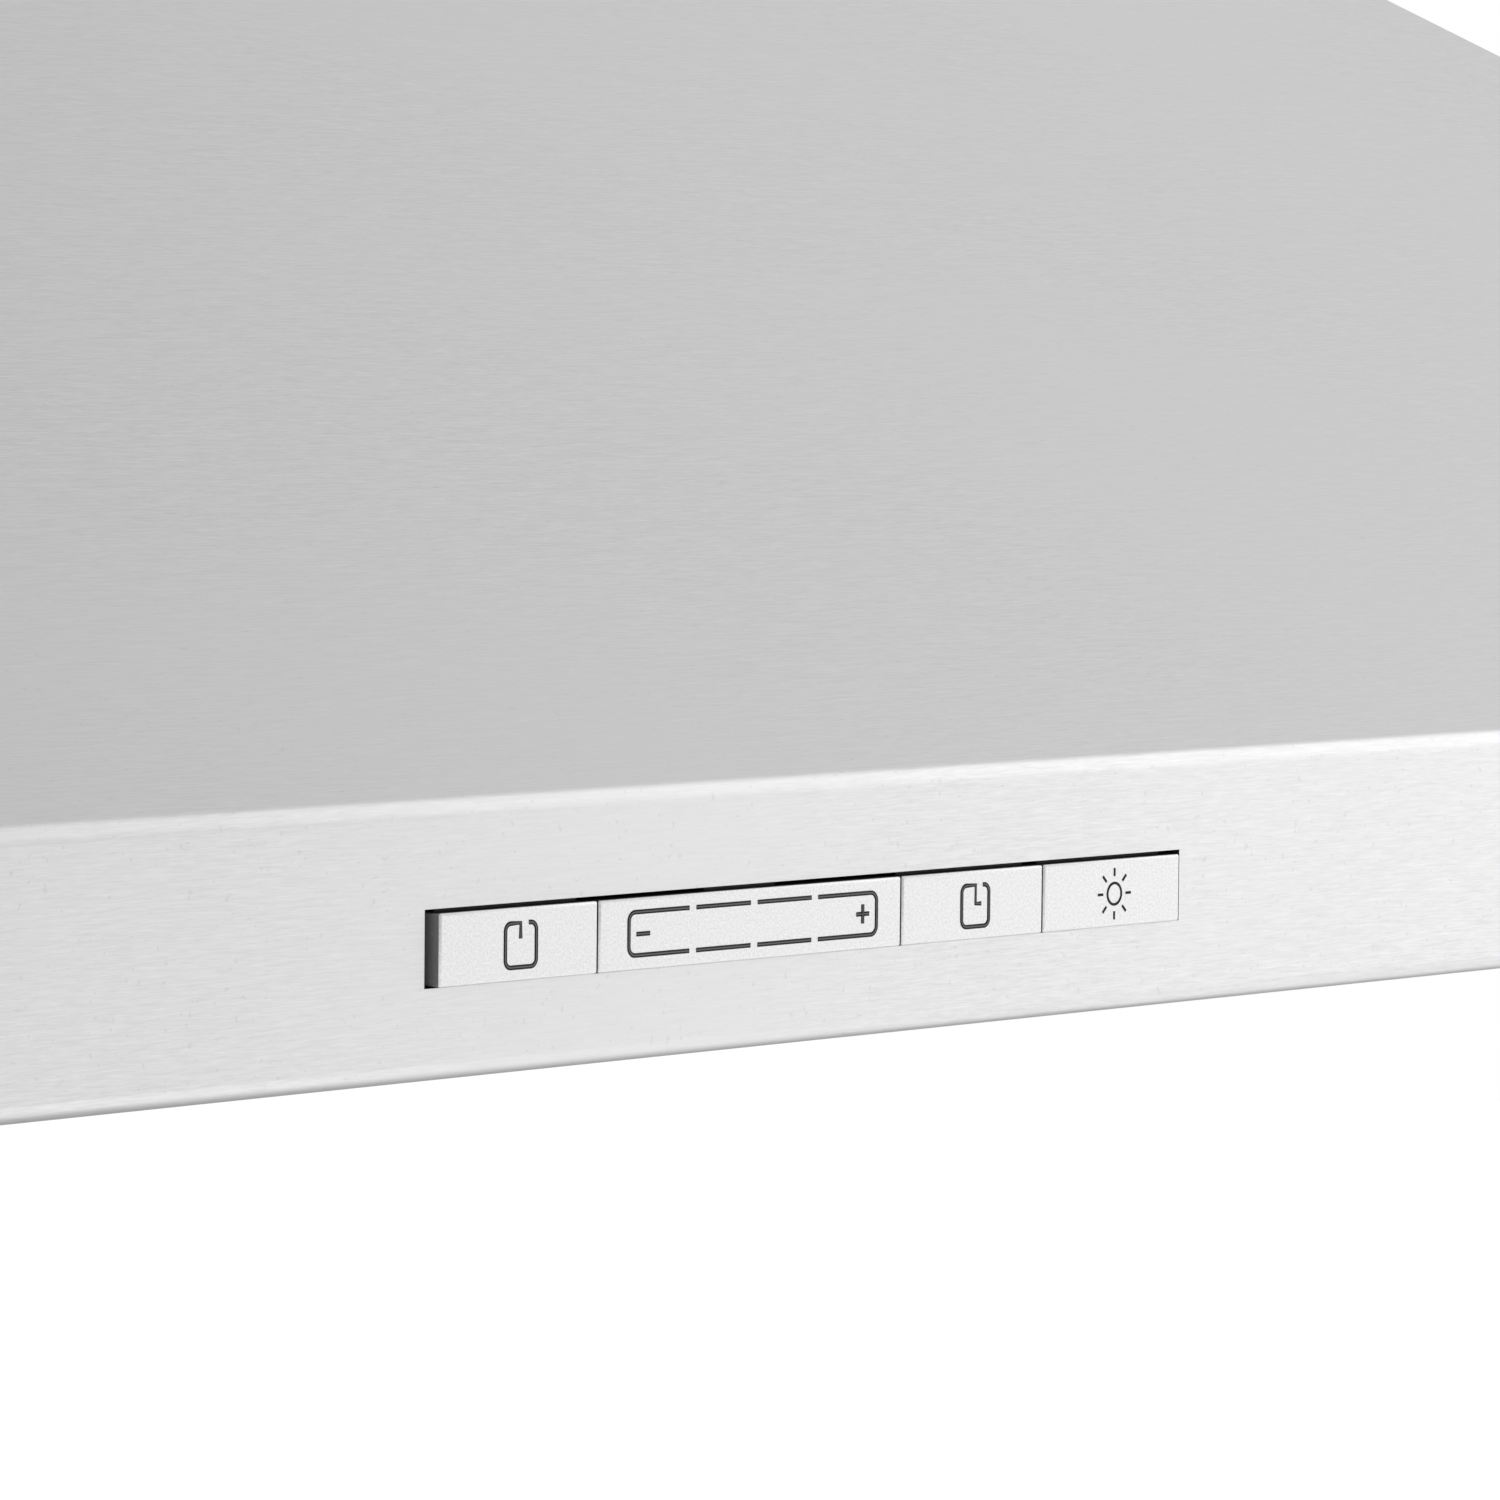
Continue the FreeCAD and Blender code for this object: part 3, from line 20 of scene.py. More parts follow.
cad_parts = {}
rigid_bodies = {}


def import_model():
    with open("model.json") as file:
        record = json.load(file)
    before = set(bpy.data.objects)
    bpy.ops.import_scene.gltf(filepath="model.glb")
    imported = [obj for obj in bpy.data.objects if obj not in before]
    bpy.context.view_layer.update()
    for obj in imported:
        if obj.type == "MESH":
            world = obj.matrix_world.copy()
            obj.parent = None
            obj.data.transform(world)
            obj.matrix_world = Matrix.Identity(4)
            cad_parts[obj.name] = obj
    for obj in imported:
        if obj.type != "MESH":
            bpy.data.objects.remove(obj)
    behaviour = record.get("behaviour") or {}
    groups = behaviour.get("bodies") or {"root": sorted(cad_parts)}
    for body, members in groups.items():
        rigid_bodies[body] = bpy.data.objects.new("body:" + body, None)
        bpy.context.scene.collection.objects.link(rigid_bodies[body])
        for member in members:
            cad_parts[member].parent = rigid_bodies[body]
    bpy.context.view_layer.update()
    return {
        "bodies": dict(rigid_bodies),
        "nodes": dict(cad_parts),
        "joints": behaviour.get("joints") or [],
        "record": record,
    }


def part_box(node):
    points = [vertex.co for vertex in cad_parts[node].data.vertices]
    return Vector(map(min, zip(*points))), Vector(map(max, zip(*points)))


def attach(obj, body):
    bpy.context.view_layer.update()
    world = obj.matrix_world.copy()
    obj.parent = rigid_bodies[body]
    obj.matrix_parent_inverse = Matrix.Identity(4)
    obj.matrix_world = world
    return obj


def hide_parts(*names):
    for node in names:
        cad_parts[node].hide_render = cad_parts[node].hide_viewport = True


LOG = logging.getLogger("range_hood")
MM = 0.001
Path = list[tuple[float, float]]
Colour = tuple[float, float, float, float]
Span = tuple[float, float]
Ramp = tuple[float, float, float, float]
GRAIN_SPAN = (0.3, 0.7)


# ---------------------------------------------------------------- node tree helpers


class Tree:
    """Short calls for building one shader or geometry tree."""

    def __init__(self, tree: NodeTree) -> None:
        """Keep the tree that the calls add to."""
        self.tree = tree

    def add(self, kind: str, inputs: dict | None = None, **settings: object) -> Node:
        """Add one node.

        Args:
            kind: Blender's name of the node type.
            inputs: Socket name or number to a value, or to the output socket that feeds it.
            **settings: Attributes of the node.

        Returns:
            The new node.
        """
        node = self.tree.nodes.new(kind)
        for name, value in settings.items():
            setattr(node, name, value)
        for name, value in (inputs or {}).items():
            if isinstance(value, NodeSocket):
                self.link(value, node.inputs[name])
            else:
                node.inputs[name].default_value = value
        return node

    def link(self, source: NodeSocket, target: NodeSocket) -> None:
        """Join an output socket to an input socket."""
        self.tree.links.new(source, target)

    def math(self, operation: str, first: object, second: object = 0.0) -> NodeSocket:
        """Return the result of one Math node."""
        return self.add("ShaderNodeMath", {0: first, 1: second}, operation=operation).outputs[0]

    def times(self, first: object, second: object) -> NodeSocket:
        """Return the product of two values."""
        return self.math("MULTIPLY", first, second)

    def vector(self, x: object = 0.0, y: object = 0.0, z: object = 0.0) -> NodeSocket:
        """Return three values as one vector."""
        return self.add("ShaderNodeCombineXYZ", {0: x, 1: y, 2: z}).outputs[0]

    def remap(self, value: object, low: float, high: float, to_low: object = 0.0,
              to_high: object = 1.0) -> NodeSocket:
        """Return a value moved from one range to another, and kept inside it."""
        return self.add("ShaderNodeMapRange", {"Value": value, "From Min": low, "From Max": high,
                                               "To Min": to_low, "To Max": to_high}).outputs["Result"]

    def blend(self, factor: object, first: object, second: object) -> NodeSocket:
        """Return a mix of two colours."""
        return self.add("ShaderNodeMix", {0: factor, 6: first, 7: second}, data_type="RGBA").outputs[2]

    def noise(self, place: NodeSocket, scale: object, detail: float = 2.0, **inputs: float) -> NodeSocket:
        """Return the value of one noise."""
        return self.add("ShaderNodeTexNoise", {"Vector": place, "Scale": scale, "Detail": detail,
                                               **inputs}).outputs[0]

    def join(self, *shapes: NodeSocket) -> NodeSocket:
        """Return several geometries as one."""
        node = self.add("GeometryNodeJoinGeometry")
        for shape in shapes:
            self.link(shape, node.inputs[0])
        return node.outputs[0]

    def copies(self, points: NodeSocket, shape: NodeSocket, **inputs: object) -> NodeSocket:
        """Return a copy of a shape on every point, with its other inputs by socket name."""
        named = {label.replace("_", " "): value for label, value in inputs.items()}
        inputs = {"Points": points, "Instance": shape, **named}
        return self.add("GeometryNodeInstanceOnPoints", inputs).outputs[0]

    def finish(self, shape: NodeSocket, given: object, out: object) -> NodeTree:
        """End a geometry tree with its copies made real and its material set.

        Args:
            shape: Geometry to finish.
            given: The tree's input sockets.
            out: The tree's output sockets.

        Returns:
            The finished tree.
        """
        real = self.add("GeometryNodeRealizeInstances", {0: shape}).outputs[0]
        dressed = self.add("GeometryNodeSetMaterial", {0: real, "Material": given["Material"]})
        self.link(dressed.outputs[0], out[0])
        return self.tree


def new_group(name: str, kind: str, inputs: dict[str, tuple[str, object]], outputs: dict[str, str]) -> tuple:
    """Start a node group with named sockets.

    Args:
        name: Name of the group.
        kind: Type of the tree.
        inputs: Socket name to its type and its starting value, which may be None.
        outputs: Socket name to its type.

    Returns:
        The Tree, the sockets that bring the inputs in and the sockets that take the results.
    """
    group = bpy.data.node_groups.new(name, kind)
    for label, (socket, value) in inputs.items():
        made = group.interface.new_socket(name=label, in_out="INPUT", socket_type=socket)
        if value is not None:
            made.default_value = value
    for label, socket in outputs.items():
        group.interface.new_socket(name=label, in_out="OUTPUT", socket_type=socket)
    tree = Tree(group)
    return tree, tree.add("NodeGroupInput").outputs, tree.add("NodeGroupOutput").inputs


SOCKET_OF = {bool: "NodeSocketBool", int: "NodeSocketInt", float: "NodeSocketFloat"}


def shape_group(name: str, sizes: dict[str, object]) -> tuple:
    """Start a geometry tree that takes a shape, sizes and a material, and gives a shape.

    Args:
        name: Name of the tree.
        sizes: Socket name to its starting value, or to its type if it has none.

    Returns:
        The Tree, its input sockets and its output sockets.
    """
    inputs = {"Geometry": ("NodeSocketGeometry", None)}
    for label, value in sizes.items():
        inputs[label] = (value, None) if isinstance(value, str) else (SOCKET_OF[type(value)], value)
    inputs["Material"] = ("NodeSocketMaterial", None)
    return new_group(name, "GeometryNodeTree", inputs, {"Geometry": "NodeSocketGeometry"})


# ---------------------------------------------------------------- shared shader effects


class Effects:
    """Shader node groups that several finishes share, each built once."""

    def __init__(self) -> None:
        """Build every group."""
        self.brushed = self._brushed()
        self.smudges = self._smudges()
        self.grain = self._grain()

    @staticmethod
    def _brushed() -> NodeTree:
        """Return fine lines drawn out along the direction whose stretch is small."""
        tree, given, out = new_group(
            "brushed_lines", "ShaderNodeTree",
            {"Vector": ("NodeSocketVector", None), "Stretch": ("NodeSocketVector", (420.0, 7600.0, 7600.0)),
             "Pits": ("NodeSocketFloat", 0.5)},
            {"Lines": "NodeSocketFloat", "Bands": "NodeSocketFloat", "Pits": "NodeSocketFloat"})
        place = tree.add("ShaderNodeVectorMath", {0: given["Vector"], 1: given["Stretch"]},
                         operation="MULTIPLY").outputs[0]
        fine = tree.noise(place, 1.0, Roughness=0.6)
        middle = tree.noise(place, 0.35, Roughness=0.5)
        broad = tree.noise(given["Vector"], 7.0)
        lines = tree.math("ADD", tree.times(fine, 0.6), tree.times(middle, 0.4))
        spots = tree.noise(given["Vector"], 1500.0, 0.0)
        pits = tree.times(tree.remap(spots, 0.785, 0.82), given["Pits"])
        tree.link(lines, out["Lines"])
        tree.link(broad, out["Bands"])
        tree.link(pits, out["Pits"])
        return tree.tree

    @staticmethod
    def _smudges() -> NodeTree:
        """Return soft, large patches of handling marks and fine dust."""
        tree, given, out = new_group(
            "smudges_and_dust", "ShaderNodeTree",
            {"Vector": ("NodeSocketVector", None), "Size": ("NodeSocketFloat", 9.0)},
            {"Smudge": "NodeSocketFloat", "Dust": "NodeSocketFloat"})
        cloud = tree.noise(given["Vector"], given["Size"], 4.0, Distortion=0.4)
        speck = tree.noise(given["Vector"], 900.0, 1.0)
        tree.link(tree.remap(cloud, 0.35, 0.7), out["Smudge"])
        tree.link(tree.remap(speck, 0.66, 0.74), out["Dust"])
        return tree.tree

    @staticmethod
    def _grain() -> NodeTree:
        """Return an even, small grain for moulded, cast and painted surfaces."""
        tree, given, out = new_group(
            "fine_grain", "ShaderNodeTree",
            {"Vector": ("NodeSocketVector", None), "Scale": ("NodeSocketFloat", 2500.0)},
            {"Grain": "NodeSocketFloat"})
        tree.link(tree.noise(given["Vector"], given["Scale"], 3.0, Roughness=0.6), out["Grain"])
        return tree.tree


@dataclass(frozen=True)
class Surface:
    """The open parts of one material while it is being built."""

    material: Material
    tree: Tree
    shader: Node
    place: NodeSocket

    def feed(self, name: str, source: NodeSocket) -> None:
        """Link a changing value to one of the shader's sockets."""
        self.tree.link(source, self.shader.inputs[name])

    def effect(self, group: NodeTree, **values: object) -> Node:
        """Place a shared effect on the piece's own coordinates, with its own values."""
        return self.tree.add("ShaderNodeGroup", {"Vector": self.place, **values}, node_tree=group)

    def grain(self, effects: Effects, scale: float) -> NodeSocket:
        """Return the value of the shared fine grain."""
        return self.effect(effects.grain, Scale=scale).outputs["Grain"]

    def grained(self, effects: Effects, scale: float, colours: tuple[Colour, Colour],
                rough: Span) -> NodeSocket:
        """Let a fine grain move the colour and the roughness, and return the grain."""
        grain = self.grain(effects, scale)
        self.feed("Base Color", self.tree.blend(grain, *colours))
        self.feed("Roughness", self.tree.remap(grain, *GRAIN_SPAN, *rough))
        return grain

    def bump(self, height: NodeSocket, distance: float, strength: float) -> None:
        """Raise the surface by a height map, with the distance in metres."""
        made = self.tree.add("ShaderNodeBump", {"Height": height, "Distance": distance, "Strength": strength})
        self.feed("Normal", made.outputs["Normal"])


def open_surface(name: str, **constants: object) -> Surface:
    """Start a material.

    Args:
        name: Name of the material.
        **constants: Principled sockets that stay the same all over, with spaces as underscores.

    Returns:
        The started surface.
    """
    material = bpy.data.materials.new(name)
    material.use_nodes = True
    tree = Tree(material.node_tree)
    shader = material.node_tree.nodes["Principled BSDF"]
    for label, value in constants.items():
        shader.inputs[label.replace("_", " ")].default_value = value
    place = tree.add("ShaderNodeTexCoord").outputs["Object"]
    return Surface(material, tree, shader, place)


def grey(level: float) -> Colour:
    """Return a neutral colour."""
    return (level, level, level, 1.0)


class Direction(Enum):
    """Way that a brushed finish runs; the small number is along the lines."""

    ACROSS_FRONT = (420.0, 7600.0, 7600.0)
    ALONG_SIDE = (7600.0, 420.0, 7600.0)


@dataclass(frozen=True)
class BrushedSteel:
    """Stainless sheet with fine, short brush lines."""

    name: str
    dark: float = 0.685
    light: float = 0.85
    roughness: float = 0.30
    direction: Direction = Direction.ACROSS_FRONT
    depth: float = 0.16
    line_span: Span = (0.32, 0.68)
    band_span: Span = (0.35, 0.65)
    evening: float = 0.75
    pitting: float = 0.35

    def build(self, effects: Effects) -> Material:
        """Return the material."""
        surface = open_surface(self.name, Metallic=1.0)
        tree = surface.tree
        lines = surface.effect(effects.brushed, Stretch=self.direction.value)
        marks = surface.effect(effects.smudges)
        tone = tree.remap(lines.outputs["Lines"], *self.line_span)
        colour = tree.blend(tone, grey(self.dark), grey(self.light))
        even = grey(self.dark * 0.4 + self.light * 0.6)
        bands = tree.remap(lines.outputs["Bands"], *self.band_span, 0.0, self.evening)
        banded = tree.blend(bands, colour, even)
        pitted = tree.blend(tree.times(lines.outputs["Pits"], self.pitting), banded, grey(self.dark * 0.6))
        surface.feed("Base Color", pitted)
        rough = tree.remap(tone, 0.0, 1.0, self.roughness + 0.03, self.roughness - 0.02)
        soft = tree.math("ADD", rough, tree.times(marks.outputs["Smudge"], 0.03))
        surface.feed("Roughness", soft)
        surface.bump(lines.outputs["Lines"], 0.02 * MM, self.depth)
        return surface.material


@dataclass(frozen=True)
class ZincSheet:
    """Galvanised sheet with its patchy spangle."""

    name: str

    def build(self, effects: Effects) -> Material:
        """Return the material."""
        surface = open_surface(self.name, Metallic=0.9)
        tree = surface.tree
        cells = tree.add("ShaderNodeTexVoronoi", {"Vector": surface.place, "Scale": 130.0, "Randomness": 1.0})
        value = tree.add("ShaderNodeSeparateColor", {0: cells.outputs["Color"]}).outputs[0]
        marks = surface.effect(effects.smudges)
        colour = tree.blend(value, (0.42, 0.44, 0.46, 1.0), (0.60, 0.62, 0.64, 1.0))
        surface.feed("Base Color", tree.blend(tree.times(marks.outputs["Smudge"], 0.25), colour,
                                              (0.46, 0.48, 0.50, 1.0)))
        surface.feed("Roughness", tree.remap(value, 0.0, 1.0, 0.34, 0.50))
        return surface.material


@dataclass(frozen=True)
class PlainMetal:
    """Ground, plated or cast metal with a faint grain."""

    name: str
    colour: Colour
    roughness: float = 0.3
    scale: float = 2200.0

    def build(self, effects: Effects) -> Material:
        """Return the material."""
        surface = open_surface(self.name, Metallic=1.0)
        darker = tuple(c * 0.86 for c in self.colour[:3]) + (1.0,)
        grain = surface.grained(effects, self.scale, (darker, self.colour),
                                (self.roughness - 0.05, self.roughness + 0.07))
        surface.bump(grain, 0.01 * MM, 0.3)
        return surface.material


@dataclass(frozen=True)
class Moulding:
    """Moulded plastic, rubber or paint with a fine spark-eroded grain."""

    name: str
    colour: Colour
    roughness: float = 0.5
    scale: float = 1600.0
    depth: float = 0.04 * MM

    def build(self, effects: Effects) -> Material:
        """Return the material."""
        surface = open_surface(self.name)
        tree = surface.tree
        grain = surface.grain(effects, self.scale)
        marks = surface.effect(effects.smudges)
        lighter = tuple(min(1.0, c * 1.25 + 0.01) for c in self.colour[:3]) + (1.0,)
        colour = tree.blend(tree.times(marks.outputs["Smudge"], 0.5), self.colour, lighter)
        surface.feed("Base Color", tree.blend(tree.times(marks.outputs["Dust"], 0.15), colour, grey(0.6)))
        rough = tree.remap(grain, *GRAIN_SPAN, self.roughness - 0.07, self.roughness + 0.08)
        surface.feed("Roughness", rough)
        surface.bump(grain, self.depth, 0.35)
        return surface.material


@dataclass(frozen=True)
class KeySilver:
    """Satin silver keys: even, bright and only faintly grained."""

    name: str
    dark: float = 0.79
    light: float = 0.95
    scale: float = 3600.0

    def build(self, effects: Effects) -> Material:
        """Return the material."""
        surface = open_surface(self.name, Metallic=0.85)
        tree = surface.tree
        grain = surface.grain(effects, self.scale)
        tone = tree.remap(grain, 0.34, 0.66)
        surface.feed("Base Color", tree.blend(tone, grey(self.dark), grey(self.light)))
        surface.feed("Roughness", tree.remap(tone, 0.0, 1.0, 0.42, 0.34))
        surface.bump(grain, 0.02 * MM, 0.25)
        return surface.material


@dataclass(frozen=True)
class FrostedLens:
    """Frosted lamp window, softly lit from behind."""

    name: str
    glow: float = 1.2

    def build(self, effects: Effects) -> Material:
        """Return the material."""
        surface = open_surface(self.name, Roughness=0.45, Emission_Strength=self.glow)
        tree = surface.tree
        grain = surface.grain(effects, 700.0)
        surface.feed("Base Color", tree.blend(grain, grey(0.80), grey(0.94)))
        surface.feed("Emission Color", tree.blend(grain, (0.9, 0.88, 0.82, 1.0), (1.0, 0.98, 0.93, 1.0)))
        surface.bump(grain, 0.1 * MM, 0.4)
        return surface.material


@dataclass(frozen=True)
class PrintedInk:
    """Dark grey pad-printed ink with slightly uneven cover."""

    name: str
    dark: float = 0.010
    light: float = 0.028

    def build(self, effects: Effects) -> Material:
        """Return the material."""
        surface = open_surface(self.name, Specular_IOR_Level=0.15)
        surface.grained(effects, 5000.0, (grey(self.dark), grey(self.light)), (0.38, 0.55))
        return surface.material


def slot_finishes() -> dict[str, object]:
    """Return the finish of each of the record's material slots."""
    finishes = (
        BrushedSteel("stainless_sheet"),
        BrushedSteel("stainless_pan", dark=0.50, light=0.64, roughness=0.34),
        ZincSheet("galvanised_sheet"),
        PlainMetal("rivet_steel", grey(0.72), 0.28),
        PlainMetal("screw_zinc", (0.70, 0.69, 0.64, 1.0), 0.3),
        KeySilver("key_silver"),
        Moulding("black_plastic", grey(0.018), 0.5),
        PlainMetal("shaft_steel", grey(0.62), 0.2),
        Moulding("board_green", (0.012, 0.10, 0.045, 1.0), 0.3, 400.0),
        PlainMetal("bezel_chrome", grey(0.86), 0.12, 800.0),
        FrostedLens("lens_frosted"),
        PlainMetal("heat_sink_aluminium", grey(0.6), 0.45, 900.0),
        BrushedSteel("filter_steel", dark=0.56, light=0.70, roughness=0.27, direction=Direction.ALONG_SIDE),
        PlainMetal("ring_steel", grey(0.8), 0.16, 700.0),
        Moulding("rubber_black", grey(0.022), 0.7, 900.0),
        Moulding("motor_paint", grey(0.03), 0.42, 700.0),
        PlainMetal("bearing_bronze", (0.55, 0.36, 0.16, 1.0), 0.35, 1500.0),
        PlainMetal("stator_steel", grey(0.25), 0.5, 1500.0),
        Moulding("impeller_plastic", grey(0.03), 0.5, 1200.0),
        Moulding("seal_foam", grey(0.04), 0.9, 1100.0, 0.2 * MM),
        Moulding("terminal_plastic", (0.72, 0.71, 0.66, 1.0), 0.45),
        Moulding("case_grey", (0.26, 0.27, 0.28, 1.0), 0.5),
        Moulding("case_white", (0.74, 0.74, 0.71, 1.0), 0.42),
        Moulding("cable_grey", grey(0.2), 0.55),
        Moulding("cable_black", grey(0.025), 0.5),
    )
    return {finish.name: finish for finish in finishes}


class Palette:
    """Every material of the hood, by slot."""

    def __init__(self) -> None:
        """Build the shared effects, the slots' materials and the ink."""
        effects = Effects()
        self.by_slot = {name: finish.build(effects) for name, finish in slot_finishes().items()}
        side = BrushedSteel("stainless_side", direction=Direction.ALONG_SIDE)
        self.side_sheet = side.build(effects)
        self.ink = PrintedInk("key_ink").build(effects)
        self.ink_core = PrintedInk("key_ink_core", 0.12, 0.19).build(effects)
        self.key_wall = Moulding("key_wall", grey(0.20), 0.5, 3000.0, 0.02 * MM).build(effects)

    def dress(self, frame: dict) -> None:
        """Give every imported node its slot's material."""
        for part in frame["record"]["subparts"]:
            node = frame["nodes"][part["node"]]
            material = self.by_slot[part["material_slot"]]
            if part["node"].endswith("side_panel"):
                material = self.side_sheet
            node.data.materials.clear()
            node.data.materials.append(material)


# ---------------------------------------------------------------- mesh helpers


def make_object(name: str, mesh: Mesh) -> Object:
    """Return a new object at the origin that holds the mesh."""
    made = bpy.data.objects.new(name, mesh)
    bpy.context.scene.collection.objects.link(made)
    return made


def finish_piece(piece: Object, body: str, replaced: tuple[str, ...] = ()) -> None:
    """Attach a finished piece to its body and hide the nodes that it stands for."""
    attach(piece, body)
    if replaced:
        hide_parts(*replaced)
    LOG.info("piece %s on %s, %d faces", piece.name, body, len(piece.data.polygons))


def grow(points: Mesh, group: NodeTree, values: dict[str, object], name: str, place: Matrix) -> Object:
    """Run a geometry tree on a mesh and keep the result as a plain mesh piece.

    Args:
        points: Mesh that the tree starts from, removed afterwards.
        group: The tree.
        values: The tree's inputs by name.
        name: Name of the finished piece.
        place: Where the shape goes in the frame.

    Returns:
        The finished piece, at the origin with its place in its mesh.
    """
    carrier = make_object("carrier", points)
    modifier = carrier.modifiers.new("shape", "NODES")
    modifier.node_group = group
    sockets = {item.name: item.identifier for item in group.interface.items_tree if item.in_out == "INPUT"}
    for label, value in values.items():
        modifier[sockets[label]] = value
    bpy.context.view_layer.update()
    graph = bpy.context.evaluated_depsgraph_get()
    mesh = bpy.data.meshes.new_from_object(carrier.evaluated_get(graph), depsgraph=graph)
    mesh.transform(place)
    bpy.data.objects.remove(carrier)
    bpy.data.meshes.remove(points)
    return make_object(name, mesh)


def paths_mesh(name: str, paths: list[Path]) -> Mesh:
    """Return a mesh of edges that follows flat paths; a path that ends where it starts is closed."""
    mesh = bpy.data.meshes.new(name)
    points, edges = [], []
    for path in paths:
        closed = path[0] == path[-1]
        run = path[:-1] if closed else path
        first = len(points)
        points += [(x, y, 0.0) for x, y in run]
        edges += [(first + i, first + i + 1) for i in range(len(run) - 1)]
        if closed:
            edges.append((first + len(run) - 1, first))
    mesh.from_pydata(points, edges, [])
    return mesh


def smooth_by_angle(mesh: Mesh, degrees: float = 35.0, flat_area: float = 1.0) -> None:
    """Shade a mesh smooth, but keep sharp edges crisp and broad faces flat."""
    mesh.shade_smooth()
    mesh.set_sharp_from_angle(angle=math.radians(degrees))
    for face in mesh.polygons:
        face.use_smooth = face.area < flat_area


def rectangle(name: str, half_x: float, half_y: float) -> Mesh:
    """Return a flat rectangle that faces up."""
    mesh = bpy.data.meshes.new(name)
    places = [(-half_x, -half_y, 0.0), (half_x, -half_y, 0.0), (half_x, half_y, 0.0), (-half_x, half_y, 0.0)]
    mesh.from_pydata(places, [], [(0, 1, 2, 3)])
    return mesh


def soft_box(low: Vector, high: Vector, radius: float, segments: int = 4) -> BMesh:
    """Return a box with all its edges rounded."""
    shape = bmesh.new()
    bmesh.ops.create_cube(shape, size=1.0)
    size, middle = high - low, (high + low) / 2
    for vertex in shape.verts:
        vertex.co = Vector(middle[i] + vertex.co[i] * size[i] for i in range(3))
    bmesh.ops.bevel(shape, geom=list(shape.edges), offset=radius, segments=segments, profile=0.5,
                    affect="EDGES", clamp_overlap=True)
    return shape


def join_shape(shape: BMesh, extra: BMesh) -> None:
    """Add one bmesh to another and free the added one."""
    carrier = bpy.data.meshes.new("carrier")
    extra.to_mesh(carrier)
    extra.free()
    shape.from_mesh(carrier)
    bpy.data.meshes.remove(carrier)


def take_mesh(shape: BMesh, name: str, material: Material, flat_area: float = 1.0) -> Mesh:
    """Return a bmesh as a finished mesh with one material."""
    bmesh.ops.recalc_face_normals(shape, faces=list(shape.faces))
    mesh = bpy.data.meshes.new(name)
    shape.to_mesh(mesh)
    shape.free()
    smooth_by_angle(mesh, flat_area=flat_area)
    mesh.materials.append(material)
    return mesh


# ---------------------------------------------------------------- key strip


class Corner(Enum):
    """Quarter of a rounded corner, by the angle at which its arc starts."""

    TOP_RIGHT = 0.0
    TOP_LEFT = 90.0
    BOTTOM_LEFT = 180.0
    BOTTOM_RIGHT = 270.0


@dataclass(frozen=True)
class RoundFrame:
    """Rounded rectangle that the key symbols are drawn on."""

    left: float
    right: float
    bottom: float
    top: float
    radius: float
    steps: int = 8

    def corner(self, which: Corner) -> Path:
        """Return one rounded corner's points, counted anticlockwise."""
        at_right = which in (Corner.TOP_RIGHT, Corner.BOTTOM_RIGHT)
        at_top = which in (Corner.TOP_RIGHT, Corner.TOP_LEFT)
        x = self.right - self.radius if at_right else self.left + self.radius
        y = self.top - self.radius if at_top else self.bottom + self.radius
        turns = [math.radians(which.value + 90.0 * i / self.steps) for i in range(self.steps + 1)]
        return [(x + self.radius * math.cos(t), y + self.radius * math.sin(t)) for t in turns]

    def around(self, corners: list[Corner]) -> Path:
        """Return the points of several corners in turn."""
        return [point for which in corners for point in self.corner(which)]


